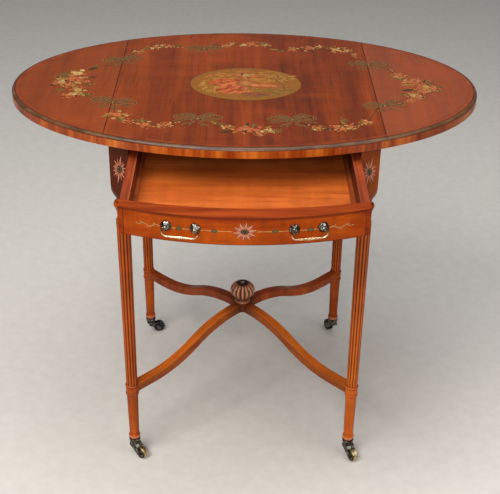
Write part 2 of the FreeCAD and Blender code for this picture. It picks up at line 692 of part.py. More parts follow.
def bail():
    """Bail with two pivots, square shoulders and a turned lower bar beaded at the middle."""
    bend = BAIL_BEND_R
    corner_r = BAIL_CORNER_R
    slope = math.sqrt(0.5)
    y = -HANDLE_PROUD
    low = -BAIL_DROP
    pin_in = HANDLE_SPACING / 2 - 1.5
    x_bend = HANDLE_SPACING / 2 + POST_R + 0.3
    x_out = x_bend + bend
    x_bar = x_out - corner_r

    def half(s):
        return [
            Part.makeLine(V(s * pin_in, y, 0), V(s * x_bend, y, 0)),
            Part.Arc(V(s * x_bend, y, 0), V(s * (x_bend + bend * slope), y, -bend + bend * slope),
                     V(s * x_out, y, -bend)).toShape(),
            Part.makeLine(V(s * x_out, y, -bend), V(s * x_out, y, low + corner_r)),
            Part.Arc(V(s * x_out, y, low + corner_r),
                     V(s * (x_bar + corner_r * slope), y, low + corner_r - corner_r * slope),
                     V(s * x_bar, y, low)).toShape(),
        ]

    left = half(-1)
    right = half(1)
    path = Part.Wire(left + [Part.makeLine(V(-x_bar, y, low), V(x_bar, y, low))] + right[::-1])
    section = Part.Wire([Part.Circle(V(-pin_in, y, 0), V(1, 0, 0), BAIL_WIRE_R).toShape()])
    wire = path.makePipeShell([section], True, False)
    taper = [(BAIL_WIRE_R, x_bar), (BAIL_SWELL_R, 4.6), (2.4, 4.2), (2.4, 3.0), (BAIL_SWELL_R, 2.6),
             (BAIL_SWELL_R, 1.6), (BAIL_BEAD_R, 1.2)]
    spindle = turned(
        [(0, -x_bar)] + [(r, -z) for r, z in taper] + [(r, z) for r, z in taper[::-1]] + [(0, x_bar)]
    )
    spindle.rotate(V(0, 0, 0), V(0, 1, 0), 90)
    spindle.translate(V(0, y, low))
    return fuse_all([wire, spindle])


rosette_pair = [rosette(-1), rosette(1)]
bail_shape = bail()
front_rosettes = []
rear_rosettes = []
for name, side in SIDES.items():
    for shape in rosette_pair:
        front_rosettes.append(handle_frame(shape, side, False).cut(front_solid))
        rear_rosettes.append(handle_frame(shape, side, True).cut(nodes["rear_frieze"]))
    nodes["bail_rear_" + name] = handle_frame(bail_shape, -side, True)

drawer_nodes = {
    "drawer_front": front_solid,
    "drawer_side_right": side_solid,
    "drawer_side_left": mirrored_x(side_solid),
    "drawer_back": back_solid,
    "drawer_bottom": bottom_solid,
    "drawer_slips": Part.makeCompound([slip, mirrored_x(slip)]),
    "drawer_rosettes": Part.makeCompound(front_rosettes),
    "bail_front_left": handle_frame(bail_shape, -1, False),
    "bail_front_right": handle_frame(bail_shape, 1, False),
}
for name, shape in drawer_nodes.items():
    opened = shape.copy()
    opened.translate(V(0, -DRAWER_OPEN, 0))
    nodes[name] = opened
nodes["rear_rosettes"] = Part.makeCompound(rear_rosettes)


# ---- casters -----------------------------------------------------------------
def caster_parts():
    """Cup on the foot, swivel fork, axle and barrel wheel; the wheel trails along +X."""
    cup = turned(
        [(0, CUP_LOW_Z), (9.6, CUP_LOW_Z), ((11.0, 34.5), (11.4, ANKLE_Z)), (0, ANKLE_Z)]
    )
    cup = cup.cut(rod(8.5, (0, 0, 34), (0, 0, ANKLE_Z + 1)))
    cup = cup.cut(rod(STEM_R + PIN_CLEAR, (0, 0, CUP_LOW_Z - 1), (0, 0, 35)))
    crown_low = 27.2
    crown_high = CUP_LOW_Z - 0.4
    cheek_in = WHEEL_W / 2 + 0.6
    cheek_out = cheek_in + 2.2
    crown = rod(9.2, (0, 0, crown_low), (0, 0, crown_high))
    stem = rod(STEM_R, (0, 0, crown_low), (0, 0, 58))
    cap = rod(STEM_R + 0.8, (0, 0, 54), (0, 0, 58))
    parts = [crown, stem, cap]
    for s in (-1, 1):
        cheek = outline(
            [(-6.0, crown_high), (-6.5, 24.0), (TRAIL - 5.2, WHEEL_R - 3),
             ((TRAIL, WHEEL_R - 6.0), (TRAIL + 5.5, WHEEL_R + 1)), ((14.5, 22.0), (8.0, crown_high))],
            lambda x, z: (x, s * cheek_in, z),
        ).extrude(V(0, s * (cheek_out - cheek_in), 0))
        parts.append(cheek)
    fork = fuse_all(parts)
    fork = fork.cut(rod(AXLE_R, (TRAIL, -20, WHEEL_R), (TRAIL, 20, WHEEL_R)))
    axle = rod(AXLE_R, (TRAIL, -cheek_out, WHEEL_R), (TRAIL, cheek_out, WHEEL_R))
    for s in (-1, 1):
        head = rod(3.2, (TRAIL, s * cheek_out, WHEEL_R), (TRAIL, s * (cheek_out + 0.9), WHEEL_R))
        axle = axle.fuse(head)
    w = WHEEL_W / 2
    rim = WHEEL_R - WHEEL_ROUND
    shoulder = WHEEL_ROUND * math.sqrt(0.5)
    wheel = turned(
        [
            (0, -w), (5.0, -w), (5.6, -w + 0.8), (9.4, -w + 0.8), (10.2, -w), (rim, -w),
            ((rim + shoulder, -w + WHEEL_ROUND - shoulder), (WHEEL_R, -w + WHEEL_ROUND)),
            (WHEEL_R, w - WHEEL_ROUND),
            ((rim + shoulder, w - WHEEL_ROUND + shoulder), (rim, w)),
            (10.2, w), (9.4, w - 0.8), (5.6, w - 0.8), (5.0, w), (0, w),
        ]
    )
    wheel = wheel.cut(rod(AXLE_R + PIN_CLEAR, (0, 0, -w - 1), (0, 0, w + 1)))
    wheel.rotate(V(0, 0, 0), V(1, 0, 0), 90)
    wheel.translate(V(TRAIL, 0, WHEEL_R))
    return cup, fork, axle, wheel


cup_shape, fork_shape, axle_shape, wheel_shape = caster_parts()
caster_shapes = {"caster_fork_": fork_shape, "caster_axle_": axle_shape, "caster_wheel_": wheel_shape}
cups = []
for corner, (sx, sy) in CORNERS.items():
    way_x, way_y = CASTER_WAY[corner]
    turn = math.degrees(math.atan2(way_y, way_x))
    place = V(sx * LEG_X, sy * LEG_Y, 0)
    one = cup_shape.copy()
    one.translate(place)
    cups.append(one)
    for name, shape in caster_shapes.items():
        one = shape.copy()
        one.rotate(V(0, 0, 0), V(0, 0, 1), turn)
        one.translate(place)
        nodes[name + corner] = one
nodes["caster_cups"] = Part.makeCompound(cups)

os.makedirs("parts", exist_ok=True)
for name, shape in nodes.items():
    shape.exportStep("parts/" + name + ".step")
print(len(nodes), "nodes,", sum(len(s.Solids) for s in nodes.values()), "solids")
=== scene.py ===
import json
import math
import random

import bmesh
import bpy
from mathutils import Matrix, Vector


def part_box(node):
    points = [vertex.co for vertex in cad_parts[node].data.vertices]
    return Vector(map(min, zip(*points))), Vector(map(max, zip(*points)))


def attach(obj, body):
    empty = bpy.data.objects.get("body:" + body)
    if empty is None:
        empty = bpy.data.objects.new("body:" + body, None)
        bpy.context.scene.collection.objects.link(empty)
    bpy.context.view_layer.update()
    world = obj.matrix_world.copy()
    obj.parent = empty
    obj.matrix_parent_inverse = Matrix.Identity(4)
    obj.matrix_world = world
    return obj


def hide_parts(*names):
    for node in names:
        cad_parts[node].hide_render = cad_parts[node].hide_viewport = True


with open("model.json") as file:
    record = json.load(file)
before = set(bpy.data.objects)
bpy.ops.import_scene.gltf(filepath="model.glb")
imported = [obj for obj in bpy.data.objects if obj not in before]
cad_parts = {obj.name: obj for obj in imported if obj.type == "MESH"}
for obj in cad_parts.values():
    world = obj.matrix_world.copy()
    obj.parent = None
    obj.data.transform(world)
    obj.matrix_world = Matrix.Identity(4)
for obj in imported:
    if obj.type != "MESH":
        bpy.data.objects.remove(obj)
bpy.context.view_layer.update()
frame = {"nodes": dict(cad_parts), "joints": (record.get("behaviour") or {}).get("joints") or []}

NODES = frame["nodes"]
JOINT = {j["name"]: j for j in frame["joints"]}

# ---- places taken from the frame (metres) ------------------------------------
TOP_LOW, TOP_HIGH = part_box("top_centre")
LEAF_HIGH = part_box("leaf_right")[1]
TOP_Z = TOP_HIGH[2]
TOP_T = TOP_HIGH[2] - TOP_LOW[2]
OVAL_A = LEAF_HIGH[0]
OVAL_B = TOP_HIGH[1]
LEAF_LINE = JOINT["leaf_right_fold"]["pos_m"][0]
FRONT_LOW, FRONT_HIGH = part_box("drawer_front")
REAR_LOW, REAR_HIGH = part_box("rear_frieze")
FACE_HALF = FRONT_HIGH[0]
FACE_LOW_Z = FRONT_LOW[2]
FACE_HIGH_Z = FRONT_HIGH[2]
FACE_MID_Z = (FACE_LOW_Z + FACE_HIGH_Z) / 2
BOW = 0.037                       # swell of the drawer front over its width
BOW_R = (FACE_HALF ** 2 + BOW ** 2) / (2 * BOW)
LEG_X = JOINT["caster_front_right_swivel"]["pos_m"][0]
LEG_Y = JOINT["caster_rear_right_swivel"]["pos_m"][1]
HANDLE_Z = JOINT["bail_front_left_swing"]["pos_m"][2]
SIDE_LOW, SIDE_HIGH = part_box("drawer_side_right")
WHEEL_HALF = 0.0065               # half width of a caster wheel
ARM_HALF = 0.00975                # half width of a stretcher arm
SHAFT_LOW_Z = 0.1802              # lower and upper ends of a leg's reeds
SHAFT_TOP_Z = 0.5454
HEAD_Z = 0.602                    # where a leg's neck passes into its square head
FOOT_BEAD_Z = 0.0475              # middle of the bead above a leg's caster cup
REEDS = 12                        # reeds round a leg
LOBES = 16                        # lobes round the finial
BORDER = 0.0155                   # width of the border round the top
NOSING = 0.0048                   # width of its rounded nosing, and how far that drops
PAINT = 0.00008                   # how far paint stands off the wood
LAYER = 0.00003                   # and one layer of paint off the next


def srgb(red, green, blue):
    """Linear colour from 0-255 display values."""
    out = []
    for c in (red, green, blue):
        c = c / 255.0
        out.append(c / 12.92 if c <= 0.04045 else ((c + 0.055) / 1.055) ** 2.4)
    return tuple(out) + (1.0,)


def put_in_scene(name, data):
    thing = bpy.data.objects.new(name, data)
    bpy.context.scene.collection.objects.link(thing)
    return thing


def piece_of(name, mesh, material):
    """Smooth-shaded object made from a bmesh."""
    data = bpy.data.meshes.new(name)
    mesh.to_mesh(data)
    for polygon in data.polygons:
        polygon.use_smooth = True
    data.materials.append(material)
    return put_in_scene(name, data)


# ---- shader helper -----------------------------------------------------------
RAMP_STOPS = {2: (0.35, 0.65), 3: (0.34, 0.5, 0.66)}
SOCKETS = {"coat": "Coat Weight", "coat_rough": "Coat Roughness", "specular": "Specular IOR Level",
           "metallic": "Metallic"}


class Shader:
    """A principled material and short names for the nodes that feed it."""

    def __init__(self, name, **sockets):
        self.material = bpy.data.materials.new(name)
        self.material.use_nodes = True
        self.tree = self.material.node_tree
        self.bsdf = self.tree.nodes["Principled BSDF"]
        self.place = self.add("ShaderNodeTexCoord").outputs["Object"]
        split = self.add("ShaderNodeSeparateXYZ")
        self.put(split.inputs[0], self.place)
        self.x, self.y, self.z = split.outputs
        self.colour = None
        for short, value in sockets.items():
            self.bsdf.inputs[SOCKETS[short]].default_value = value

    def add(self, kind, **settings):
        made = self.tree.nodes.new(kind)
        for key, value in settings.items():
            setattr(made, key, value)
        return made

    def put(self, socket, value):
        if isinstance(value, bpy.types.NodeSocket):
            self.tree.links.new(value, socket)
        else:
            socket.default_value = value

    def math(self, operation, a, b=0.0, c=0.0, clamp=False):
        made = self.add("ShaderNodeMath", operation=operation, use_clamp=clamp)
        for socket, value in zip(made.inputs, (a, b, c)):
            self.put(socket, value)
        return made.outputs[0]

    def times(self, a, b):
        return self.math("MULTIPLY", a, b)

    def size(self, a):
        return self.math("ABSOLUTE", a)

    def minus(self, a, b):
        return self.math("SUBTRACT", a, b)

    def blend(self, a, share, b):
        """Share of a and the rest of b."""
        return self.math("MULTIPLY_ADD", a, share, self.times(b, 1.0 - share))

    def length(self, a, b):
        """Square root of a squared plus b squared."""
        return self.math("SQRT", self.math("ADD", self.math("POWER", a, 2.0), self.math("POWER", b, 2.0)))

    def scaled(self, scale, turn=(0, 0, 0)):
        made = self.add("ShaderNodeMapping")
        self.put(made.inputs["Vector"], self.place)
        made.inputs["Scale"].default_value = scale
        made.inputs["Rotation"].default_value = turn
        return made.outputs[0]

    def noise(self, scale, detail, rough, distortion=0.0, where=None):
        made = self.add("ShaderNodeTexNoise")
        self.put(made.inputs["Vector"], where or self.place)
        settings = {"Scale": scale, "Detail": detail, "Roughness": rough, "Distortion": distortion}
        for key, value in settings.items():
            made.inputs[key].default_value = value
        return made.outputs["Fac"]

    def stretched(self, scale, detail, rough, distortion=0.0):
        """Noise stretched by a scale of its own along each axis."""
        return self.noise(1.0, detail, rough, distortion, self.scaled(scale))

    def span(self, value, low, high, to_low=0.0, to_high=1.0):
        made = self.add("ShaderNodeMapRange")
        for socket, number in zip(made.inputs, (value, low, high, to_low, to_high)):
            self.put(socket, number)
        return made.outputs[0]

    def ramp(self, value, tones, stops=None):
        """Two or three tones over the middle of a noise's range, or at the given stops."""
        made = self.add("ShaderNodeValToRGB")
        ramp = made.color_ramp
        while len(ramp.elements) < len(tones):
            ramp.elements.new(0.5)
        for element, at, tone in zip(ramp.elements, stops or RAMP_STOPS[len(tones)], tones):
            element.position = at
            element.color = srgb(*tone)
        self.put(made.inputs[0], value)
        return made.outputs[0]

    def mix(self, amount, a, b, mode="MIX"):
        made = self.add("ShaderNodeMix", data_type="RGBA", blend_type=mode)
        self.put(made.inputs[0], amount)
        for socket, value in ((made.inputs[6], a), (made.inputs[7], b)):
            self.put(socket, srgb(*value) if isinstance(value, tuple) else value)
        return made.outputs[2]

    def band(self, value, centre, half, soft):
        """1 inside centre +- half, fading to 0 over soft."""
        away = self.size(self.minus(value, centre))
        return self.span(away, half, half + soft, 1.0, 0.0)

    def around(self, centre_x, centre_y, count):
        """Cosine of count times the angle about an upright axis, the same in all four quarters."""
        off_x = self.minus(self.size(self.x), centre_x)
        off_y = self.minus(self.size(self.y), centre_y)
        angle = self.math("ARCTAN2", off_y, off_x)
        return self.math("COSINE", self.times(angle, float(count)))

    def bump(self, height, strength, distance):
        made = self.add("ShaderNodeBump")
        made.inputs["Strength"].default_value = strength
        made.inputs["Distance"].default_value = distance
        self.put(made.inputs["Height"], height)
        self.put(self.bsdf.inputs["Normal"], made.outputs[0])

    def over(self, mask, tint, share=1.0, mode="MIX"):
        """Lay a tint over the colour so far: all of it where mask times share is 1."""
        amount = mask if share == 1.0 else self.times(mask, share)
        self.colour = self.mix(amount, self.colour, tint, mode)

    def finish(self, wear, smoothest, roughest):
        """Use the colour so far, with a roughness that follows the noise in wear."""
        self.put(self.bsdf.inputs["Base Color"], self.colour)
        self.put(self.bsdf.inputs["Roughness"], self.span(wear, 0.3, 0.7, smoothest, roughest))
        return self.material


# ---- wood --------------------------------------------------------------------
GRAIN_SCALES = {
    "X": ((2.2, 40, 40), (14, 420, 420), (1.2, 6, 6)),
    "Y": ((40, 2.2, 40), (420, 14, 420), (6, 1.2, 6)),
    "Z": ((40, 40, 2.2), (420, 420, 14), (6, 6, 1.2)),
}


def grain(shader, axis, dark, mid, light, figure, pores=0.5):
    """Colour and height of wood whose grain runs along axis."""
    fibre_scale, pore_scale, board_scale = GRAIN_SCALES[axis]
    fibre = shader.stretched(fibre_scale, 7.0, 0.62, 0.35)
    board = shader.stretched(board_scale, 3.0, 0.5, 0.6)
    pore = shader.stretched(pore_scale, 2.0, 0.5)
    across = tuple(60.0 if s < 5 else 14.0 for s in fibre_scale)
    mottle = shader.noise(0.5, 3.0, 0.6, 0.4, shader.scaled(across))
    tone = shader.blend(board, 0.45, fibre)
    shader.colour = shader.ramp(tone, (dark, mid, light))
    lustre = shader.span(mottle, 0.35, 0.65, 1.0 - figure, 1.0 + figure)
    grey = shader.add("ShaderNodeCombineColor")
    for socket in grey.inputs[:3]:
        shader.put(socket, lustre)
    shader.over(1.0, grey.outputs[0], mode="MULTIPLY")
    fleck = shader.span(pore, 0.60, 0.72)
    shader.over(fleck, dark, pores, mode="MULTIPLY")
    height = shader.minus(shader.times(fibre, 0.35), shader.times(fleck, 0.6))
    return height, tone


def worn(shader, dark, amount=0.35):
    """Grime patches laid over a wood colour."""
    patch = shader.noise(9.0, 5.0, 0.6, 0.4)
    grime = shader.span(patch, 0.52, 0.72, 0.0, amount)
    shader.over(grime, dark, mode="MULTIPLY")


def wood(name, axis, dark, mid, light, roughness, coat, figure=0.2):
    """A polished or waxed wood for a CAD part."""
    shader = Shader(name, coat=coat, coat_rough=0.16, specular=0.3)
    height, _ = grain(shader, axis, dark, mid, light, figure)
    worn(shader, (150, 110, 90))
    gloss = shader.noise(30.0, 4.0, 0.6)
    shader.bump(height, 0.25, 0.0004)
    return shader.finish(gloss, roughness - 0.07, roughness + 0.1)


SATIN_DARK, SATIN_MID, SATIN_LIGHT = (98, 32, 2), (158, 66, 7), (192, 94, 18)
TOP_DARK, TOP_MID, TOP_RED = (78, 26, 4), (113, 44, 6), (132, 56, 11)


def rim_distance(shader):
    """Distance in from the rim of the oval, good near the rim."""
    ex = shader.math("DIVIDE", shader.x, OVAL_A)
    ey = shader.math("DIVIDE", shader.y, OVAL_B)
    e = shader.length(ex, ey)
    gx = shader.math("DIVIDE", ex, OVAL_A)
    gy = shader.math("DIVIDE", ey, OVAL_B)
    slope = shader.length(gx, gy)
    return shader.math("DIVIDE", shader.times(shader.minus(1.0, e), e), slope)


def top_material():
    """French-polished top: long grain, a banded border, a dull nosing and a cross-banded edge."""
    shader = Shader("top_wood", coat=0.12, coat_rough=0.14, specular=0.26)
    height, _ = grain(shader, "Y", TOP_DARK, TOP_MID, TOP_RED, 0.10, 0.35)
    stripe = shader.stretched((16, 1.0, 1), 3.0, 0.55, 0.25)
    shader.over(shader.span(stripe, 0.40, 0.62, 0.0, 0.16), (64, 20, 8))
    faded = shader.stretched((5, 7, 1), 4.0, 0.55, 0.7)
    shader.over(shader.span(faded, 0.55, 0.72, 0.0, 0.4), (146, 58, 14))
    # painted light: the whole left leaf is lightened and warmed as if it caught more light than the middle
    # board
    left_leaf_painted_light = shader.times(shader.span(shader.x, -LEAF_LINE - 0.0005, -LEAF_LINE, 1.0, 0.0), 0.3)
    shader.over(left_leaf_painted_light, (124, 60, 26))
    # painted sheen: the whole right leaf is lightened and cooled as if it caught a reflection
    right_leaf_painted_sheen = shader.times(shader.span(shader.x, LEAF_LINE, LEAF_LINE + 0.0005), 0.4)
    shader.over(right_leaf_painted_sheen, (146, 76, 48))
    joint_line = shader.band(shader.size(shader.x), LEAF_LINE, 0.0006, 0.0006)
    shader.over(joint_line, (34, 12, 6), 0.8)
    inset = rim_distance(shader)
    border = shader.span(inset, BORDER - 0.0005, BORDER, 1.0, 0.0)
    ring = shader.stretched((55, 55, 2), 4.0, 0.6)
    band_colour = shader.ramp(ring, ((96, 34, 10), (146, 62, 20)))
    shader.over(border, band_colour, 0.4)
    string = shader.band(inset, BORDER, 0.00045, 0.0002)
    shader.over(string, (54, 22, 12), 0.35)
    # painted shade: a dark line just inside the nosing, standing for the shadow in a quirk
    quirk = shader.band(inset, NOSING + 0.0014, 0.0008, 0.0004)
    shader.over(quirk, (40, 18, 12), 0.85)
    nosing = shader.span(inset, NOSING, NOSING + 0.0005, 1.0, 0.0)
    dull = shader.stretched((30, 30, 60), 4.0, 0.6)
    shader.over(nosing, shader.ramp(dull, ((66, 40, 22), (98, 68, 42))))
    edge = shader.span(shader.z, TOP_Z - NOSING, TOP_Z - NOSING + 0.0006, 1.0, 0.0)
    sliver = shader.stretched((70, 70, 5), 5.0, 0.65)
    patch = shader.stretched((22, 22, 1), 2.0, 0.5)
    edge_tone = shader.blend(patch, 0.5, sliver)
    edge_tones = ((104, 34, 4), (144, 60, 10), (184, 98, 30))
    edge_colour = shader.ramp(edge_tone, edge_tones, (0.38, 0.5, 0.62))
    shader.over(edge, edge_colour)
    line = shader.band(shader.z, TOP_Z - NOSING + 0.0002, 0.0006, 0.0003)
    shader.over(line, (66, 26, 12), 0.75)
    under = shader.span(shader.z, TOP_Z - TOP_T + 0.0002, TOP_Z - TOP_T + 0.0010, 1.0, 0.0)
    shader.over(under, (118, 70, 40), 0.8)
    smear = shader.noise(14.0, 5.0, 0.6, 0.5)
    shader.bump(height, 0.14, 0.0003)
    return shader.finish(smear, 0.30, 0.44)


def drawer_face_material(name, low_z, high_z, half):
    """Bright satinwood with a cross-banded end, a dark string and a darker strip under the ledge."""
    shader = Shader(name, coat=0.02, coat_rough=0.14, specular=0.08)
    height, _ = grain(shader, "X", (90, 24, 0), (131, 45, 1), (158, 66, 4), 0.16, 0.3)
    side = shader.minus(half, shader.size(shader.x))
    lower = shader.minus(shader.z, low_z)
    upper = shader.minus(high_z, shader.z)
    cross = shader.stretched((60, 4, 60), 4.0, 0.6)
    cross_colour = shader.ramp(cross, ((92, 26, 2), (146, 52, 6)))
    shader.over(shader.span(side, 0.0078, 0.0081, 0.8, 0.0), cross_colour)
    shader.over(shader.span(upper, 0.0035, 0.0060, 0.75, 0.0), (84, 24, 3))
    for away, at, half_line, tint, share in (
        (side, 0.0082, 0.00045, (58, 22, 8), 0.85),
        (lower, 0.0052, 0.0004, (120, 46, 10), 0.5),
        (lower, 0.0007, 0.0006, (70, 26, 8), 0.6),
    ):
        line = shader.band(away, at, half_line, 0.0002)
        shader.over(line, tint, share)
    ledge = shader.span(shader.z, high_z - 0.0004, high_z - 0.0001, 0.0, 1.0)
    shader.over(ledge, ledge_colour(shader))
    smear = shader.noise(26.0, 4.0, 0.6, 0.3)
    shader.bump(height, 0.2, 0.0003)
    return shader.finish(smear, 0.28, 0.44)


def ledge_colour(shader):
    """Reddish mahogany seen on the upper edges of the drawer."""
    fibre = shader.stretched((6, 60, 60), 5.0, 0.6, 0.3)
    return shader.ramp(fibre, ((108, 38, 9), (146, 60, 20)))


def side_material():
    """Drawer side: dark waxed face, a paler upper edge with its bead and the joint line beside it."""
    shader = Shader("drawer_side_wood", coat=0.05, coat_rough=0.2, specular=0.3)
    height, _ = grain(shader, "Y", (50, 12, 6), (82, 24, 12), (112, 40, 20), 0.15, 0.5)
    across = shader.minus(shader.size(shader.x), SIDE_LOW[0])
    fibre = shader.stretched((60, 6, 60), 5.0, 0.6, 0.3)
    upper = shader.span(shader.z, SIDE_HIGH[2] - 0.0014, SIDE_HIGH[2] - 0.0009)
    outer_edge = shader.ramp(fibre, ((98, 34, 12), (142, 58, 24)))
    bead_edge = shader.ramp(fibre, ((124, 54, 24), (162, 88, 48)))
    edge = shader.mix(shader.span(across, 0.0008, 0.0013), bead_edge, outer_edge)
    shader.over(upper, edge)
    shader.bump(height, 0.2, 0.0003)
    return shader.finish(fibre, 0.4, 0.56)


# heights of the painted shade lines beside a leg's turned beads
BEAD_LINES = (0.6025, 0.5930, 0.5802, 0.5573, 0.5497, 0.5450, 0.1803, 0.1742, 0.1608, 0.1547, 0.0555, 0.0428)


def leg_material():
    """Satinwood leg with painted shade in the flutes between the reeds and beside each turned bead, painted
    highlights on the reed crests, and painted shade on the square heads and upper shafts.
    """
    shader = Shader("leg_wood", coat=0.03, coat_rough=0.15, specular=0.14)
    height, _ = grain(shader, "Z", SATIN_DARK, SATIN_MID, SATIN_LIGHT, 0.15, 0.4)
    worn(shader, (150, 110, 90), 0.3)
    reeds = shader.around(LEG_X, LEG_Y, REEDS)
    above = shader.span(shader.z, SHAFT_LOW_Z, SHAFT_LOW_Z + 0.0014)
    below = shader.span(shader.z, SHAFT_TOP_Z - 0.0014, SHAFT_TOP_Z, 1.0, 0.0)
    shaft = shader.times(above, below)
    # painted shade: the flutes between the reeds are darkened as if shadowed
    flute = shader.times(shader.span(reeds, 0.25, 0.95, 0.0, 0.92), shaft)
    shader.over(flute, (58, 18, 4))
    # painted highlight: the crests of the reeds are lightened as if catching the light
    crest = shader.times(shader.span(reeds, -0.55, -1.0, 0.0, 0.35), shaft)
    shader.over(crest, (216, 116, 40))
    # painted shade: the square heads are darkened, the left legs more than the right, as if under the top's
    # overhang
    shaded = shader.span(shader.x, -0.1, 0.1, 0.95, 0.5)
    head = shader.times(shader.span(shader.z, HEAD_Z - 0.004, HEAD_Z + 0.004), shaded)
    shader.over(head, (76, 25, 4))
    # painted shadow: the upper shafts are darkened, the rear legs more than the front, as if in the top's
    # shadow
    shaded = shader.span(shader.y, -0.05, 0.05, 0.4, 0.95)
    upper = shader.times(shader.span(shader.z, 0.34, SHAFT_TOP_Z - 0.0054), shaded)
    shader.over(upper, (156, 132, 110), mode="MULTIPLY")
    foot = shader.band(shader.z, FOOT_BEAD_Z, 0.0028, 0.0012)
    shader.over(foot, (186, 124, 92), 0.7)
    # painted shade: thin dark lines in the creases beside each turned bead
    lines = None
    for at in BEAD_LINES:
        line = shader.band(shader.z, at, 0.0003, 0.0006)
        lines = line if lines is None else shader.math("MAXIMUM", lines, line)
    shader.over(lines, (58, 20, 6), 0.75)
    shader.bump(height, 0.2, 0.0004)
    smear = shader.noise(30.0, 4.0, 0.6)
    return shader.finish(smear, 0.28, 0.44)


def finial_material():
    """Carved brown wood: painted pale highlights on the lobes, painted shade in the grooves between them, low
    on the lobes, in the hollow crown and round the neck.
    """
    shader = Shader("finial_wood", coat=0.2, coat_rough=0.15, specular=0.4)
    brown = ((92, 44, 24), (150, 84, 50), (196, 132, 92))
    height, tone = grain(shader, "Z", *brown, 0.15, 0.4)
    lobes = shader.around(0.0, 0.0, LOBES)
    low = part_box("stretcher_boss")[1][2] + 0.0115
    melon = shader.span(shader.z, low, low + 0.0015)
    # painted shade: the grooves between the lobes are darkened as if shadowed
    groove = shader.times(shader.span(lobes, 0.0, -0.95, 0.0, 0.92), melon)
    # painted highlight: the crests of the lobes are lightened as if catching the light
    wear_and_painted_light = shader.times(shader.span(lobes, 0.5, 1.0, 0.0, 0.55), melon)
    shader.over(wear_and_painted_light, (214, 156, 112))
    shader.over(groove, (34, 14, 6))
    # painted shade: the lower part of the lobes darkens as if shadowed
    shade = shader.span(shader.z, low, low + 0.0060, 0.85, 0.0)
    shader.over(shade, (34, 14, 6), melon)
    radius = shader.length(shader.x, shader.y)
    # painted shade: the hollow crown is darkened as if in shadow
    hollow = shader.times(shader.span(radius, 0.0112, 0.0150, 0.95, 0.0), melon)
    shader.over(hollow, (24, 10, 5))
    # painted shade: a dark band round the neck under the lobes
    neck = shader.band(shader.z, low - 0.0026, 0.0022, 0.0008)
    shader.over(neck, (40, 16, 8), 0.8)
    shader.bump(height, 0.2, 0.0004)
    return shader.finish(tone, 0.26, 0.42)


def arm_material():
    """Stretcher wood with painted light on the front arms, and painted shade on the rear left arm, on the
    arms' sides and towards the boss.
    """
    shader = Shader("stretcher_wood", coat=0.03, coat_rough=0.15, specular=0.14)
    height, _ = grain(shader, "Z", SATIN_DARK, SATIN_MID, SATIN_LIGHT, 0.15, 0.4)
    worn(shader, (140, 100, 80), 0.45)
    run = math.hypot(LEG_X, LEG_Y)
    out_x, out_y = shader.size(shader.x), shader.size(shader.y)
    across = shader.minus(shader.times(out_x, LEG_Y / run), shader.times(out_y, LEG_X / run))
    along = shader.math("ADD", shader.times(out_x, LEG_X / run), shader.times(out_y, LEG_Y / run))
    strip = shader.add("ShaderNodeCombineXYZ")
    for socket, value, factor in zip(strip.inputs, (across, along, shader.z), (320.0, 9.0, 60.0)):
        shader.put(socket, shader.times(value, factor))
    streak = shader.noise(1.0, 4.0, 0.6, where=strip.outputs[0])
    # painted light: the front arms are lightened as if lit more
    wear_and_painted_light = shader.times(shader.span(shader.y, 0.01, -0.05), 0.55)
    shader.over(wear_and_painted_light, (222, 118, 36))
    # painted shade: the rear left arm is darkened as if shadowed
    rear_left_painted_shade = shader.times(shader.span(shader.y, 0.01, 0.05), shader.span(shader.x, -0.05, 0.05, 0.4, 0.0))
    shader.over(rear_left_painted_shade, (84, 28, 6))
    shader.over(shader.span(streak, 0.48, 0.64, 0.0, 0.45), (120, 42, 6))
    # painted shade: the sides of the arms are darkened, the front arms more than the rear, as if turned from
    # the light
    flank = shader.span(shader.size(across), ARM_HALF - 0.0014, ARM_HALF - 0.0004)
    flank = shader.times(flank, shader.span(shader.y, -0.02, 0.02, 0.55, 0.12))
    shader.over(flank, (78, 26, 6))
    # painted shade: the arms darken towards the boss, under the finial
    radius = shader.length(shader.x, shader.y)
    shader.over(shader.span(radius, 0.018, 0.060, 0.8, 0.0), (66, 24, 8))
    shader.bump(height, 0.2, 0.0004)
    smear = shader.noise(30.0, 4.0, 0.6)
    return shader.finish(smear, 0.28, 0.44)


# ---- metal -------------------------------------------------------------------
def metal(name, dark, mid, light, roughness, spread=0.12, scale=160.0):
    """Aged metal: worn-bright and tarnished patches with fine scratches."""
    shader = Shader(name, metallic=1.0)
    patch = shader.noise(scale, 5.0, 0.6, 0.5)
    scratch = shader.noise(1.0, 3.0, 0.6, where=shader.scaled((900, 120, 300), (0.4, 0.3, 0.7)))
    tone = shader.blend(scratch, 0.3, patch)
    shader.colour = shader.ramp(tone, (dark, mid, light))
    grime = shader.noise(scale * 0.35, 4.0, 0.6, 0.6)
    shader.over(shader.span(grime, 0.5, 0.7, 0.0, 0.5), dark)
    shader.bump(tone, 0.15, 0.0003)
    return shader.finish(patch, roughness - spread, roughness + spread)


def bail_material():
    """Brass bail: rubbed pale along the bar and dark towards its pivots."""
    shader = Shader("bail_brass", metallic=1.0)
    patch = shader.noise(220.0, 5.0, 0.6, 0.5)
    bright = shader.ramp(patch, ((170, 128, 84), (226, 186, 142), (252, 226, 196)))
    aged = shader.ramp(patch, ((40, 32, 22), (78, 62, 42), (132, 110, 78)))
    height = shader.minus(HANDLE_Z, shader.z)
    shader.colour = shader.mix(shader.span(height, 0.0045, 0.0100), aged, bright)
    shader.bump(patch, 0.15, 0.0003)
    return shader.finish(patch, 0.2, 0.36)


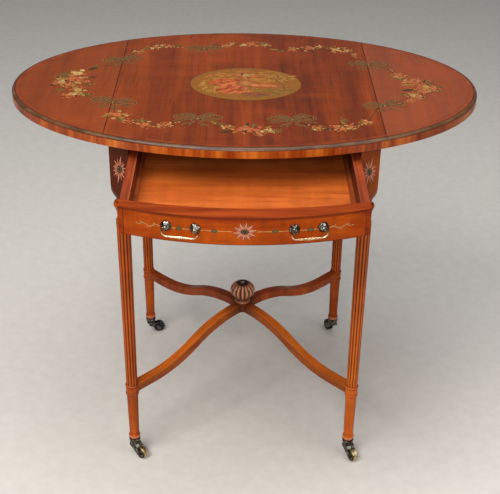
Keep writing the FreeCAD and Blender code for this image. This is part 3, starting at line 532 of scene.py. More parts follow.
def wheel_material(node, tread_tones):
    """Caster wheel: its tread in the given tones, its two faces dark."""
    low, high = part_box(node)
    axis = JOINT[node.replace("caster_wheel", "wheel") + "_roll"]["axis"]
    shader = Shader(node + "_metal", metallic=1.0)
    offset = shader.add("ShaderNodeVectorMath", operation="SUBTRACT")
    shader.put(offset.inputs[0], shader.place)
    offset.inputs[1].default_value = [(a + b) / 2 for a, b in zip(low, high)]
    along = shader.add("ShaderNodeVectorMath", operation="DOT_PRODUCT")
    shader.put(along.inputs[0], offset.outputs[0])
    along.inputs[1].default_value = axis
    patch = shader.noise(180.0, 5.0, 0.6, 0.5)
    tread = shader.ramp(patch, tread_tones)
    face = shader.ramp(patch, ((22, 20, 20), (48, 44, 42), (120, 114, 106)))
    away = shader.size(along.outputs["Value"])
    shader.colour = shader.mix(shader.span(away, WHEEL_HALF - 0.0012, WHEEL_HALF - 0.0006), tread, face)
    shader.bump(patch, 0.15, 0.0003)
    return shader.finish(patch, 0.28, 0.44)


def paint_material():
    """Oil paint on polished wood: brush marks over each stroke's own colour."""
    shader = Shader("oil_paint", coat=0.12, coat_rough=0.14, specular=0.3)
    stroke = shader.add("ShaderNodeAttribute", attribute_name="paint").outputs["Color"]
    brush = shader.stretched((700, 500, 700), 4.0, 0.65, 0.8)
    shade = shader.ramp(brush, ((186, 176, 168), (255, 255, 255)), (0.3, 0.7))
    shader.colour = shader.mix(1.0, stroke, shade, "MULTIPLY")
    # wear: small spots where the paint is rubbed through to the wood
    wear_and_painted_light = shader.noise(260.0, 4.0, 0.65, 0.4)
    shader.over(shader.span(wear_and_painted_light, 0.58, 0.72, 0.0, 0.45), (150, 82, 44))
    shader.bump(brush, 0.3, 0.0002)
    return shader.finish(brush, 0.32, 0.5)


LINING = ((104, 44, 18), (148, 70, 32), (186, 102, 54))
FLOOR = ((146, 64, 18), (178, 86, 30), (198, 108, 46))
ROSETTE_TONES = ((20, 18, 16), (62, 58, 52), (214, 210, 200))
MATERIALS = {
    "top": top_material(),
    "leg": leg_material(),
    "finial": finial_material(),
    "arm": arm_material(),
    "rail": wood("rail_wood", "Y", SATIN_DARK, SATIN_MID, SATIN_LIGHT, 0.36, 0.25),
    "bow_rail": wood("bow_rail_wood", "X", SATIN_DARK, SATIN_MID, SATIN_LIGHT, 0.36, 0.25),
    "face": drawer_face_material("drawer_face_wood", FACE_LOW_Z, FACE_HIGH_Z, FACE_HALF),
    "rear_face": drawer_face_material("rear_face_wood", REAR_LOW[2], REAR_HIGH[2] + 0.002, REAR_HIGH[0]),
    "side": side_material(),
    "lining": wood("drawer_lining", "Y", *LINING, 0.42, 0.05),
    "floor": wood("drawer_floor", "X", *FLOOR, 0.46, 0.03, 0.08),
    "carcass": wood("carcass_wood", "Y", (104, 66, 40), (150, 102, 64), (184, 136, 90), 0.6, 0.0),
    "fly": wood("fly_wood", "Y", (108, 60, 30), (156, 92, 50), (186, 120, 72), 0.5, 0.05),
    "rosette": metal("rosette_metal", *ROSETTE_TONES, 0.24, 0.1, 300.0),
    "bail": bail_material(),
    "iron": metal("hinge_iron", (52, 46, 42), (96, 88, 80), (140, 130, 120), 0.5),
    "steel": metal("screw_steel", (82, 78, 72), (130, 124, 116), (176, 170, 160), 0.42),
    "cup": metal("caster_metal", (30, 26, 24), (76, 70, 66), (188, 182, 174), 0.34, 0.12, 180.0),
    "paint": paint_material(),
}
PALE_TREAD = ((124, 98, 62), (200, 174, 128), (240, 224, 186))
# painted shade: the rear wheels' treads are a near-black copy of the brass, as if in shadow under the table
REAR_PAINTED_SHADE_TREAD = ((16, 16, 16), (40, 38, 36), (96, 92, 86))
for corner in ("front_left", "front_right", "rear_left", "rear_right"):
    wheel = "caster_wheel_" + corner
    MATERIALS[wheel] = wheel_material(wheel, PALE_TREAD if corner.startswith("front") else REAR_PAINTED_SHADE_TREAD)

LOOK = [
    ("leg_", "leg"), ("stretcher_", "arm"), ("finial", "finial"), ("top_centre", "top"), ("leaf_", "top"),
    ("outer_rail", "rail"), ("front_bottom_rail", "bow_rail"), ("front_top_rail", "bow_rail"),
    ("rear_frieze", "rear_face"), ("drawer_front", "face"), ("drawer_bottom", "floor"),
    ("drawer_side", "side"), ("drawer_rosettes", "rosette"),
    ("drawer_slips", "lining"), ("drawer_back", "lining"), ("inner_rail", "carcass"), ("drawer_", "carcass"),
    ("glue_", "carcass"), ("fly_pins", "iron"), ("fly_", "fly"), ("rear_rosettes", "rosette"),
    ("bail_", "bail"),
    ("hinge_plate_screws", "steel"), ("hinge_", "iron"), ("strap_screws", "steel"), ("top_screws", "steel"),
    ("caster_", "cup"),
]


def look_of(node):
    if node in MATERIALS:
        return node
    for start, look in LOOK:
        if node.startswith(start):
            return look
    raise SystemExit("no look for " + node)


for node, thing in NODES.items():
    thing.data.materials.clear()
    thing.data.materials.append(MATERIALS[look_of(node)])


# ---- painted decoration ------------------------------------------------------
def smooth(points, steps=8):
    """Catmull-Rom curve through the points."""
    pts = [Vector(p) for p in points]
    pts = [pts[0] * 2 - pts[1]] + pts + [pts[-1] * 2 - pts[-2]]
    out = []
    for a, b, c, d in zip(pts, pts[1:], pts[2:], pts[3:]):
        for k in range(steps):
            t = k / steps
            out.append(0.5 * (2 * b + (c - a) * t + (2 * a - 5 * b + 4 * c - d) * t * t
                              + (3 * b - a - 3 * c + d) * t ** 3))
    out.append(pts[-2])
    return out


def blend_colour(a, b, t):
    return tuple(p + (q - p) * t for p, q in zip(a, b))


class Canvas:
    """Thin strokes of paint laid on a surface; place(u, v, lift) puts them there."""

    def __init__(self, place, seed):
        self.place = place
        self.mesh = bmesh.new()
        self.layer = self.mesh.verts.layers.float_color.new("paint")
        self.random = random.Random(seed)

    def vertex(self, u, v, level, colour):
        made = self.mesh.verts.new(self.place(u, v, PAINT + LAYER * level))
        made[self.layer] = colour
        return made

    def face(self, verts):
        self.mesh.faces.new(verts)

    def vary(self, colour, amount=0.12):
        factor = 1 + self.random.uniform(-amount, amount)
        return tuple(min(1.0, c * factor) for c in colour[:3]) + (1.0,)

    def petal(self, u, v, angle, length, width, core, edge, level, tip=0.55, points=7):
        """Leaf or petal from (u, v) outward, widest at tip of its length."""
        core, edge = self.vary(core), self.vary(edge)
        ca, sa = math.cos(angle), math.sin(angle)
        sides = []
        for side in (1, -1):
            row = []
            for k in range(1, points):
                t = k / points
                swell = math.sin(math.pi * t ** (math.log(0.5) / math.log(tip)))
                across = side * width / 2 * swell
                row.append((u + ca * length * t - sa * across, v + sa * length * t + ca * across, t))
            sides.append(row)
        root = self.vertex(u, v, level, core)
        tip_vertex = self.vertex(u + ca * length, v + sa * length, level, edge)
        spine = [
            self.vertex(u + ca * length * k / points, v + sa * length * k / points, level + 0.4,
                        blend_colour(core, edge, k / points * 0.6))
            for k in range(1, points)
        ]
        for side, row in zip((1, -1), sides):
            rim = [self.vertex(a, b, level, blend_colour(core, edge, 0.35 + 0.65 * t)) for a, b, t in row]
            chain = [root] + rim + [tip_vertex]
            middle = [root] + spine + [tip_vertex]
            for k in range(len(chain) - 1):
                quad = [middle[k], middle[k + 1], chain[k + 1], chain[k]]
                unique = [q for i, q in enumerate(quad) if q not in quad[:i]]
                self.face(unique if side > 0 else unique[::-1])

    def disc(self, u, v, ru, rv, core, edge, level, points=14, turn=0.0):
        middle = self.vertex(u, v, level, core)
        ct, st = math.cos(turn), math.sin(turn)
        rim = []
        for k in range(points):
            a = 2 * math.pi * k / points
            p, q = ru * math.cos(a), rv * math.sin(a)
            rim.append(self.vertex(u + p * ct - q * st, v + p * st + q * ct, level, edge))
        for k in range(points):
            self.face([middle, rim[k], rim[(k + 1) % points]])

    def ribbon(self, points, width, middle, edge, level, taper=0.0, steps=8):
        """Band along a smooth line, darker or lighter towards its two edges."""
        line = smooth([(p[0], p[1], 0) for p in points], steps)
        count = len(line)
        rows = []
        for k, p in enumerate(line):
            ahead = line[min(k + 1, count - 1)] - line[max(k - 1, 0)]
            way = ahead.normalized() if ahead.length > 1e-9 else Vector((1, 0, 0))
            share = k / (count - 1)
            half = width / 2 * (1 - taper * share) * (0.85 + 0.15 * math.sin(11 * share))
            side = Vector((-way.y, way.x, 0)) * half
            rows.append([
                self.vertex(p.x + side.x * out, p.y + side.y * out, level, tint)
                for out, tint in ((1, edge), (0.55, middle), (-0.55, middle), (-1, edge))
            ])
        for a, b in zip(rows, rows[1:]):
            for k in range(3):
                self.face([a[k], b[k], b[k + 1], a[k + 1]])

    def build(self, name, body, mesh=None):
        mesh = mesh or self.mesh
        bmesh.ops.recalc_face_normals(mesh, faces=mesh.faces)
        piece = piece_of(name, mesh, MATERIALS["paint"])
        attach(piece, body)


CREAM, PALE, PINK = srgb(192, 144, 84), srgb(204, 168, 112), srgb(188, 96, 54)
ROSE, DEEP, ORANGE = srgb(178, 74, 40), srgb(118, 34, 16), srgb(194, 98, 40)
OLIVE, MOSS, LIME = srgb(112, 84, 34), srgb(64, 46, 20), srgb(160, 126, 54)
RIBBON, RIBBON_EDGE = srgb(86, 52, 24), srgb(178, 134, 78)
FLOWERS = {
    "cream": (OLIVE, CREAM, 6), "pink": (DEEP, PINK, 6), "rose": (DEEP, ROSE, 7),
    "orange": (DEEP, ORANGE, 6), "pale": (LIME, PALE, 7),
}
MM = 0.001
GARLAND_SCALE, GARLAND_UP = 1.0039, 7.6


def garland_at(x, y):
    """Metres on the top from the decoration's own drawing in millimetres."""
    return x * GARLAND_SCALE * MM, (y * GARLAND_SCALE + GARLAND_UP) * MM


def flower(canvas, x, y, radius, kind, level=3):
    """Open flower: overlapping round petals, an inner ring and a dotted heart."""
    core, edge, count = FLOWERS[kind]
    spin = canvas.random.uniform(0, math.tau)
    for ring, (reach, wide, lift, fade) in enumerate(((1.0, 0.95, 0, 0.0), (0.66, 0.62, 1, 0.35))):
        for k in range(count):
            angle = spin + math.tau * (k + ring * 0.5) / count + canvas.random.uniform(-0.12, 0.12)
            inner = blend_colour(core, edge, 0.35 + fade * 0.5)
            outer = blend_colour(edge, PALE, fade)
            canvas.petal(x, y, angle, radius * reach, radius * wide, inner, outer, level + lift, 0.66)
    canvas.disc(x, y, radius * 0.2, radius * 0.2, LIME, core, level + 3, 9)


def leaf(canvas, x, y, angle, length, width=None, level=1, tint=OLIVE):
    core = blend_colour(tint, MOSS, 0.5)
    canvas.petal(x, y, math.radians(angle), length, width or length * 0.36, core, tint, level, 0.45)


def spray(canvas, x, y, angle, reach, level=1):
    """Short stem with small paired leaves."""
    a = math.radians(angle)
    tip = (x + reach * math.cos(a), y + reach * math.sin(a))
    middle = ((x + tip[0]) / 2, (y + tip[1]) / 2 + reach * 0.06)
    canvas.ribbon([(x, y), middle, tip], 1.3 * MM, MOSS, OLIVE, level)
    for k in range(1, 4):
        t = k / 3.6
        for side in (42, -42):
            u, v = x + (tip[0] - x) * t, y + (tip[1] - y) * t
            leaf(canvas, u, v, angle + side, reach * 0.34, None, level + 1, OLIVE if k % 2 else LIME)
    leaf(canvas, tip[0], tip[1], angle, reach * 0.36, None, level + 1, LIME)


def bow(canvas, x, y, half, angle):
    """Tied ribbon: two double loops, fluttering tails, small leaves and a knot."""
    ca, sa = math.cos(math.radians(angle)), math.sin(math.radians(angle))

    def at(u, v):
        return (x + (u * ca - v * sa) * half, y + (u * sa + v * ca) * half)

    strands = (
        ([(0, 0), (0.25, 0.26), (0.62, 0.44), (1.0, 0.30), (0.96, 0.04), (0.55, -0.06), (0, 0)], 6.6, 4, 0.0),
        ([(0, 0), (0.16, 0.34), (0.40, 0.62), (0.64, 0.54), (0.52, 0.26), (0, 0)], 5.0, 5, 0.0),
        ([(0, 0), (0.22, -0.28), (0.12, -0.52), (0.46, -0.66), (0.62, -0.92)], 5.6, 3, 0.35),
        ([(0, 0), (0.40, -0.16), (0.66, -0.34), (0.90, -0.30), (1.12, -0.44)], 4.6, 3, 0.45),
    )
    for side in (1, -1):
        for points, width, level, taper in strands:
            flutter = 1.0 if side > 0 else 0.85
            line = [at(side * u, v * flutter) for u, v in points]
            canvas.ribbon(line, width * MM, RIBBON, RIBBON_EDGE, level, taper)
        for u, v, way in ((0.5, 0.1, 30), (0.7, -0.2, -30), (0.25, -0.5, -80)):
            turn = angle + (way if side > 0 else 180 - way)
            leaf(canvas, *at(side * u, v), turn, half * 0.34, half * 0.13, 2, OLIVE)
    canvas.disc(x, y, 3.6 * MM, 4.2 * MM, RIBBON_EDGE, MOSS, 7, 10)


def on_top(u, v, lift):
    return (u, v, TOP_Z + lift)


GARLAND_FLOWERS = [
    (-324, 35, 12, "pale"), (-331, 9, 10, "pink"), (-316, 1, 12, "rose"), (-349, -12, 10, "cream"),
    (-334, -26, 7, "pink"), (-313, -49, 10, "cream"), (-316, -70, 6, "pale"), (-329, -75, 7, "orange"),
    (299, 42, 9, "pink"), (308, 35, 7, "rose"), (315, 8, 9, "pink"), (327, 4, 9, "rose"),
    (333, 18, 7, "pink"), (332, -20, 11, "rose"), (345, -14, 9, "cream"), (359, -25, 7, "pink"),
    (339, -42, 9, "pink"), (314, -58, 8, "cream"), (322, -66, 7, "pink"), (308, -84, 5, "pink"),
    (-228, -163, 12, "orange"), (-206, -190, 6, "rose"), (-174, -205, 9, "orange"), (-148, -209, 6, "pink"),
    (-133, -203, 6, "pink"), (-32, -212, 6, "pink"), (-9, -224, 9, "rose"), (6, -219, 8, "pink"),
    (20, -224, 9, "rose"), (24, -239, 6, "pink"), (43, -226, 6, "cream"), (128, -212, 7, "pink"),
    (161, -211, 8, "rose"), (171, -215, 6, "orange"), (186, -205, 7, "pink"), (215, -185, 7, "pink"),
    (-217, 160, 7, "pink"), (-185, 186, 8, "orange"), (-172, 196, 6, "cream"), (-157, 192, 6, "pink"),
    (-40, 200, 7, "pink"), (-27, 213, 6, "cream"), (-2, 205, 7, "pale"), (15, 211, 10, "orange"),
    (43, 206, 7, "cream"), (99, 181, 8, "orange"), (131, 188, 10, "rose"), (155, 201, 6, "cream"),
    (187, 183, 10, "cream"), (210, 179, 7, "cream"), (222, 155, 5, "pink"),
]
GARLAND_LEAVES = [
    (-338, 14, 150, 26), (-343, 4, 172, 20), (-336, 24, 128, 22), (-306, 52, 52, 24), (-300, 66, 40, 16),
    (-308, -58, -62, 22), (-303, -66, -30, 20), (-356, -22, 205, 16), (-340, -38, 228, 20),
    (-322, -30, -80, 18), (-306, -20, -20, 18), (-300, 14, 18, 16), (-344, -2, 190, 14), (-322, -60, 250, 16),
    (312, 22, 160, 18), (320, -30, 195, 22), (348, -4, 40, 20), (326, -44, 240, 18), (352, -30, -30, 18),
    (340, 4, 62, 18), (306, -50, 190, 16), (318, -8, 175, 18), (364, -18, 12, 14), (330, -56, -80, 15),
    (-224, -176, -70, 18), (-240, -166, 200, 16), (-196, -194, 20, 16), (-160, -206, 170, 14),
    (-182, -196, 60, 15), (-50, -202, 120, 16), (-44, -210, 60, 15), (-24, -230, 190, 22),
    (-18, -220, 150, 18), (33, -228, -10, 20), (48, -234, 20, 18), (4, -208, 88, 16), (14, -210, 60, 14),
    (34, -216, 40, 15), (142, -206, 170, 16), (148, -216, 190, 18), (174, -190, 70, 20), (176, -196, 110, 16),
    (198, -198, 30, 14), (118, -206, 150, 14), (-206, 170, 60, 16), (-196, 178, 200, 14), (-146, 194, 10, 16),
    (-50, 204, 170, 16), (28, 214, 10, 18), (70, 180, 170, 18), (84, 176, 190, 16), (112, 186, 30, 14),
    (168, 196, -10, 16), (200, 190, 40, 14), (216, 166, -70, 14), (-12, 210, 160, 14),
]
GARLAND_STEMS = [
    [(-304, 60), (-286, 76), (-266, 80), (-248, 104)],
    [(-304, -66), (-290, -82), (-272, -90), (-250, -104)],
    [(304, 38), (291, 58), (280, 78), (256, 92)],
    [(310, -62), (296, -76), (280, -92), (262, -102)],
    [(-236, -120), (-232, -160), (-206, -190), (-174, -206), (-134, -204), (-104, -188)],
    [(-62, -188), (-40, -208), (0, -224), (44, -226), (66, -196)],
    [(104, -192), (128, -212), (160, -212), (188, -206), (216, -184), (240, -126)],
    [(-238, 126), (-216, 160), (-186, 184), (-156, 192), (-110, 186)],
    [(-60, 188), (-38, 202), (16, 212), (70, 184), (130, 188), (188, 184), (222, 154), (238, 112)],
]
GARLAND_BOWS = [
    (-244, 112, 36, 14), (-242, -106, 40, -16), (247, 98, 38, -8), (256, -108, 36, 12),
    (-84, -176, 40, -4), (84, -178, 40, 3), (-84, 182, 34, 0),
]
BEADS = [
    (-204, -193), (-196, -197), (-188, -199), (200, -201), (206, -196), (210, -190), (-146, 190), (-138, 188),
    (-128, 186), (222, 146), (226, 138), (288, 74), (290, 66), (-122, -196), (-116, -193), (112, -200),
]


def cluster(canvas, x, y, radius, kind):
    """One main flower with small blossoms, buds and leaves crowded round it."""
    draw = canvas.random
    start = draw.uniform(0, 360)
    for k in range(5):
        angle = start + 72 * k + draw.uniform(-20, 20)
        way = math.radians(angle)
        leaf(canvas, x + radius * 0.5 * math.cos(way), y + radius * 0.5 * math.sin(way), angle,
             radius * draw.uniform(1.1, 1.6), radius * 0.5, 2, draw.choice((OLIVE, LIME, MOSS, LIME)))
    for k in range(4):
        way = math.radians(start + 36 + 90 * k + draw.uniform(-25, 25))
        out = radius * draw.uniform(0.95, 1.5)
        flower(canvas, x + out * math.cos(way), y + out * math.sin(way), radius * draw.uniform(0.34, 0.52),
               draw.choice(("cream", "pink", "orange", "pale", "rose")), 5)
    for k in range(5):
        way = math.radians(start + 72 * k + draw.uniform(-30, 30))
        out = radius * draw.uniform(1.4, 2.0)
        canvas.disc(x + out * math.cos(way), y + out * math.sin(way), 1.3 * MM, 1.3 * MM, PALE, CREAM, 4, 7)
    flower(canvas, x, y, radius * 0.82, kind, 9)


def garland():
    """Ring of flowers, sprays and tied ribbons round the oval."""
    canvas = Canvas(on_top, 11)
    for stem in GARLAND_STEMS:
        canvas.ribbon([garland_at(a, b) for a, b in stem], 2.2 * MM, MOSS, OLIVE, 0)
    for k, (x, y, angle, length) in enumerate(GARLAND_LEAVES):
        x, y = garland_at(x, y)
        tint = (OLIVE, LIME, OLIVE, MOSS)[k % 4]
        leaf(canvas, x, y, angle, length * 1.15 * MM, length * 0.42 * MM, 1, tint)
        if k % 2 == 0:
            spray(canvas, x, y, angle + 26, length * 0.95 * MM, 1)
    for x, y, half, angle in GARLAND_BOWS:
        bow(canvas, *garland_at(x, y), half * MM, angle)
    for x, y in BEADS:
        x, y = garland_at(x, y)
        canvas.disc(x, y, 2.2 * MM, 2.2 * MM, PALE, PINK, 3, 8)
    for x, y, radius, kind in GARLAND_FLOWERS:
        cluster(canvas, *garland_at(x, y), radius * MM, kind)
    return canvas


def split_at_leaves(canvas, name):
    """Cut the painting at the two joint lines so that each part rides its own board."""
    gap = 0.0004
    cuts = {
        "leaf_left": [((-LEAF_LINE - gap, 0, 0), (1, 0, 0))],
        "leaf_right": [((LEAF_LINE + gap, 0, 0), (-1, 0, 0))],
        "frame": [((-LEAF_LINE, 0, 0), (-1, 0, 0)), ((LEAF_LINE, 0, 0), (1, 0, 0))],
    }
    for body, planes in cuts.items():
        part = canvas.mesh.copy()
        for point, normal in planes:
            geometry = part.verts[:] + part.edges[:] + part.faces[:]
            bmesh.ops.bisect_plane(part, geom=geometry, plane_co=point, plane_no=normal, clear_outer=True)
        canvas.build(name + "_" + body, body, part)


MEDALLION = (0.0015, -0.0014, 0.1054, 0.0813)


def medallion():
    """Oval picture of a draped urn under a tree, in the colours of the original."""
    cx, cy, ra, rb = MEDALLION
    canvas = Canvas(on_top, 23)
    canvas.disc(cx, cy, ra + 0.0014, rb + 0.0014, srgb(96, 64, 24), srgb(96, 64, 24), 0, 72)
    canvas.disc(cx, cy, ra, rb, srgb(150, 84, 24), srgb(140, 88, 28), 2, 72)
    draw = canvas.random

    def strokes(count, centre, spread, length, angle, swing, tints, level):
        for _ in range(count):
            r = math.sqrt(draw.random())
            a = draw.uniform(0, math.tau)
            u = cx + (centre[0] + spread[0] * r * math.cos(a)) * MM
            v = cy + (centre[1] + spread[1] * r * math.sin(a)) * MM
            if ((u - cx) / (ra * 0.9)) ** 2 + ((v - cy) / (rb * 0.88)) ** 2 > 1:
                continue
            way = math.radians(angle + draw.uniform(-swing, swing))
            size = length * draw.uniform(0.7, 1.3) * MM
            tint = draw.choice(tints)
            tip = blend_colour(tint, PALE, 0.08)
            canvas.petal(u, v, way, size, size * 0.34, tint, tip, level + draw.random(), 0.5, 5)

    sky = [srgb(164, 98, 34), srgb(176, 112, 44), srgb(146, 86, 26)]
    grass = [srgb(126, 90, 26), srgb(108, 80, 22), srgb(144, 98, 28)]
    drape = [srgb(174, 70, 30), srgb(188, 90, 42), srgb(142, 48, 22), srgb(196, 108, 58)]
    strokes(150, (0, 34), (86, 34), 17, 4, 14, sky, 3)
    strokes(150, (34, -44), (62, 26), 14, 6, 18, grass, 3)
    strokes(70, (-70, -20), (24, 34), 12, 60, 30, [srgb(168, 118, 38), srgb(148, 104, 32)], 3)
    strokes(60, (62, 30), (30, 26), 11, 70, 60, [srgb(128, 96, 32), srgb(108, 82, 28), srgb(156, 116, 40)], 5)
    canvas.ribbon([(cx + a * MM, cy + b * MM) for a, b in ((74, -34), (70, -6), (60, 22), (66, 46))], 4 * MM,
                  srgb(112, 70, 40), srgb(140, 92, 54), 6, 0.5)
    strokes(60, (-46, 4), (30, 16), 18, 8, 22, drape, 5)
    strokes(70, (-30, -36), (30, 20), 20, 42, 24, drape, 6)
    strokes(30, (14, -52), (26, 8), 14, -6, 10, [srgb(140, 62, 40), srgb(112, 60, 38)], 6)
    body, shade = srgb(190, 124, 60), srgb(140, 76, 34)
    for level, up, half_u, half_v in ((8, -20, 4, 7), (8.5, -28, 10, 4.5), (9, 2, 16, 19), (9.5, 24, 9, 5)):
        canvas.disc(cx, cy + up * MM, half_u * MM, half_v * MM, body, shade, level, 24)
    for k in range(9):
        angle = 20 + 17.5 * k
        leaf(canvas, cx, cy + 29 * MM, angle, (20 + 7 * (k % 2)) * MM, None, 9, (OLIVE, LIME, MOSS)[k % 3])
    posy = ((-12, 38, 7, "rose"), (1, 43, 8, "cream"), (13, 37, 7, "orange"), (-3, 33, 6, "pink"))
    for x, y, radius, kind in posy:
        flower(canvas, cx + x * MM, cy + y * MM, radius * MM, kind, 11)
    strokes(24, (26, -6), (26, 6), 16, -16, 12, [srgb(198, 116, 62), srgb(180, 88, 44)], 9)
    return canvas


def on_front(half_y, facing):
    """Place (across, height) on the bowed front; facing is -1 in front, 1 at the back."""
    def place(u, v, lift):
        swell = math.sqrt(BOW_R ** 2 - u * u) - (BOW_R - BOW)
        return (u + u / BOW_R * lift, facing * (half_y + swell + lift), v)
    return place


PATERA_PINK, PATERA_CREAM = srgb(182, 98, 70), srgb(220, 176, 134)
PATERA_SHADE = srgb(122, 34, 14)


def patera(canvas, u, v, half_u, half_v, heart_u, heart_v, petals):
    """Painted star flower: slim petals to an oval outline round a dark heart."""
    level = 2
    for k in range(petals):
        angle = math.tau * (k + 0.5) / petals
        long = k % 2 == 0
        ca, sa = math.cos(angle), math.sin(angle)
        reach = 1.0 / math.sqrt((ca / half_u) ** 2 + (sa / half_v) ** 2) * (1.0 if long else 0.84)
        tint = PATERA_CREAM if long else PATERA_PINK
        start_u, start_v = u + ca * heart_u * 0.7, v + sa * heart_v * 0.7
        length = reach - math.hypot(ca * heart_u, sa * heart_v) * 0.7
        slim = min(half_u, half_v) * 0.165
        canvas.petal(start_u, start_v, angle, length * 1.05, slim * 1.7, PATERA_SHADE, PATERA_SHADE,
                     level - 2, 0.4)
        canvas.petal(start_u, start_v, angle, length, slim, PATERA_PINK, tint, level, 0.4)
    canvas.disc(u, v, heart_u, heart_v, srgb(44, 34, 16), srgb(34, 26, 14), level + 2, 20)
    for k in range(9):
        angle = math.tau * k / 9
        at_u, at_v = u + math.cos(angle) * heart_u * 0.6, v + math.sin(angle) * heart_v * 0.6
        canvas.disc(at_u, at_v, 0.0008, 0.0008, LIME, OLIVE, level + 3, 6)


def drawer_painting(canvas):
    """Middle patera, linked green ovals and a small scroll at each end."""
    mid = FACE_MID_Z
    line, line_dark = srgb(222, 170, 104), srgb(86, 40, 18)
    patera(canvas, 0, mid, 0.0195, 0.0165, 0.0066, 0.0048, 20)
    for s in (-1, 1):
        for start, end in ((0.020, 0.043), (0.053, 0.076), (0.086, 0.098), (0.110, 0.122)):
            run = [(s * (start + (end - start) * k / 4), mid) for k in range(5)]
            canvas.ribbon(run, 0.0011, line, line_dark, 0, 0.0, 2)
        for at in (0.0480, 0.1040):
            canvas.disc(s * at, mid, 0.0046, 0.0034, srgb(104, 104, 44), srgb(58, 54, 26), 2, 14)
            for side in (-1, 1):
                way = 0 if side > 0 else math.pi
                canvas.petal(s * at + side * 0.0044, mid, way, 0.0058, 0.0024, LIME, CREAM, 1)
        scroll = [(0.135 + 0.034 * k / 14, 0.0021 * math.sin(math.tau * 1.6 * k / 14)) for k in range(15)]
        canvas.ribbon([(s * a, mid + b) for a, b in scroll], 0.0015, line, line_dark, 1, 0.4, 5)
        for at, angle in ((0.141, 55), (0.147, -40), (0.152, -60), (0.158, 40), (0.163, 60), (0.168, 5)):
            turn = math.radians(angle if s > 0 else 180 - angle)
            canvas.petal(s * at, mid, turn, 0.0062, 0.0024, OLIVE, CREAM, 2)
    return canvas


def block_painting(leg_node, facing):
    """Tall patera on the outer face of a leg's square head."""
    low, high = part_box(leg_node)
    centre_x = (low[0] + high[0]) / 2
    face_y = high[1] if facing > 0 else low[1]
    canvas = Canvas(lambda u, v, lift: (u, face_y + facing * lift, v), 31)
    patera(canvas, centre_x, FACE_MID_Z - 0.0065, 0.0118, 0.0285, 0.0044, 0.0074, 20)
    canvas.build("painted_patera_" + leg_node, "frame")


split_at_leaves(garland(), "painted_garland")
medallion().build("painted_medallion", "frame")
front_y = -(FRONT_LOW[1] + BOW)
drawer_painting(Canvas(on_front(front_y, -1), 41)).build("painted_drawer_front", "drawer")
drawer_painting(Canvas(on_front(REAR_HIGH[1] - BOW, 1), 43)).build("painted_rear_front", "frame")
for corner, facing in (("front_left", -1), ("front_right", -1), ("rear_left", 1), ("rear_right", 1)):
    block_painting("leg_" + corner, facing)


# ---- gadrooned finial --------------------------------------------------------
def finial():
    """Turned knop with rounded lobes and a hollow crown, above its ring and neck."""
    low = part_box("finial")[0]
    around = 192
    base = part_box("stretcher_boss")[1][2]
    dowel = (low[2] - base) / MM
    turning = [
        (0.0, dowel, 0), (5.0, dowel, 0), (5.0, -0.2, 0), (13.0, 0.0, 0), (14.7, 0.7, 0), (15.8, 1.9, 0),
        (16.2, 3.3, 0), (15.8, 4.7, 0), (14.7, 5.9, 0), (13.0, 6.6, 0), (12.0, 7.8, 0), (12.2, 9.4, 0),
        (12.9, 10.8, 0), (14.0, 11.8, 0.2),
    ]
    for k in range(1, 25):
        t = k / 25
        radius = 26.4 * math.cos(math.radians(-70 + 138 * t)) ** 0.62
        turning.append((radius, 11.8 + 35.0 * t ** 0.92, min(1.0, 5 * t, 7 * (1 - t))))
    turning += [
        (12.8, 46.7, 0.15), (11.2, 46.4, 0), (9.6, 45.2, 0), (8.2, 42.6, 0), (7.5, 40.3, 0), (0.0, 39.3, 0),
    ]
    outline = [(radius * MM, base + height * MM, lobed) for radius, height, lobed in turning]
    mesh = bmesh.new()
    rings = []
    for radius, height, lobed in outline:
        if radius == 0.0:
            rings.append([mesh.verts.new((0, 0, height))])
            continue
        ring = []
        for k in range(around):
            a = math.tau * k / around
            crest = abs(math.cos(a * LOBES / 2)) ** 0.7
            r = radius * (1 - 0.15 * lobed * (1 - crest))
            ring.append(mesh.verts.new((r * math.cos(a), r * math.sin(a), height)))
        rings.append(ring)
    for a, b in zip(rings, rings[1:]):
        for k in range(around):
            n = (k + 1) % around
            if len(a) == 1:
                mesh.faces.new([a[0], b[n], b[k]])
            elif len(b) == 1:
                mesh.faces.new([a[k], a[n], b[0]])
            else:
                mesh.faces.new([a[k], a[n], b[n], b[k]])
    bmesh.ops.recalc_face_normals(mesh, faces=mesh.faces)
    piece = piece_of("gadrooned_finial", mesh, MATERIALS["finial"])
    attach(piece, "frame")
    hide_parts("finial")


finial()


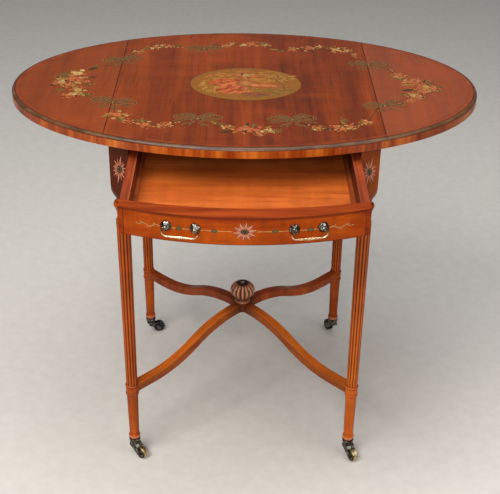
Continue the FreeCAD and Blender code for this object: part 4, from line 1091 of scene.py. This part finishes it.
# ---- floor, light and camera -------------------------------------------------
def stage():
    data = bpy.data.meshes.new("studio_floor")
    half = 14.0
    corners = [(-half, -half, 0), (half, -half, 0), (half, half, 0), (-half, half, 0)]
    data.from_pydata(corners, [], [(0, 1, 2, 3)])
    floor = put_in_scene("studio_floor", data)
    shader = Shader("studio_floor")
    speck = shader.noise(40.0, 3.0, 0.6)
    shader.colour = shader.ramp(speck, ((200, 196, 190), (208, 204, 198)), (0.3, 0.7))
    shader.finish(speck, 0.62, 0.72)
    data.materials.append(shader.material)


def area_light(name, at, size, power, tint, target=(0, 0, 0.6)):
    data = bpy.data.lights.new(name, "AREA")
    data.shape = "DISK"
    data.size = size
    data.energy = power
    data.color = tint
    lamp = put_in_scene(name, data)
    lamp.location = at
    lamp.rotation_euler = (Vector(target) - Vector(at)).to_track_quat("-Z", "Y").to_euler()


def lighting():
    world = bpy.data.worlds.new("studio")
    bpy.context.scene.world = world
    world.use_nodes = True
    light = world.node_tree.nodes["Background"].inputs
    light["Color"].default_value = (0.92, 0.95, 1.0, 1.0)
    light["Strength"].default_value = 0.15
    bpy.context.scene.view_settings.view_transform = "Standard"
    area_light("key", (-1.2, -1.6, 3.0), 1.8, 85, (1.0, 0.98, 0.94))
    area_light("front", (-0.3, -3.1, 2.0), 1.4, 48, (1.0, 0.98, 0.95))
    area_light("fill", (2.0, -1.7, 2.3), 2.2, 25, (1.0, 0.98, 0.95))
    area_light("overhead", (0.2, -0.2, 3.2), 2.6, 50, (0.98, 0.99, 1.0))


CAMERA_AT = (-0.0098, -1.9316, 1.5006)
CAMERA_DOWN, CAMERA_YAW, CAMERA_ROLL = 30.364, 0.7196, 0.8814
FOCAL_WIDTHS = 2.14465            # focal length over the picture's width


def camera():
    data = bpy.data.cameras.new("camera")
    data.sensor_width = 36.0
    data.lens = 36.0 * FOCAL_WIDTHS
    data.clip_end = 60
    shot = put_in_scene("camera", data)
    turn = Matrix.Rotation(math.radians(-CAMERA_YAW), 4, "Z")
    tilt = Matrix.Rotation(math.radians(90 - CAMERA_DOWN), 4, "X")
    roll = Matrix.Rotation(math.radians(CAMERA_ROLL), 4, "Z")
    shot.matrix_world = Matrix.Translation(CAMERA_AT) @ turn @ tilt @ roll
    bpy.context.scene.camera = shot


stage()
lighting()
camera()

bpy.context.view_layer.update()
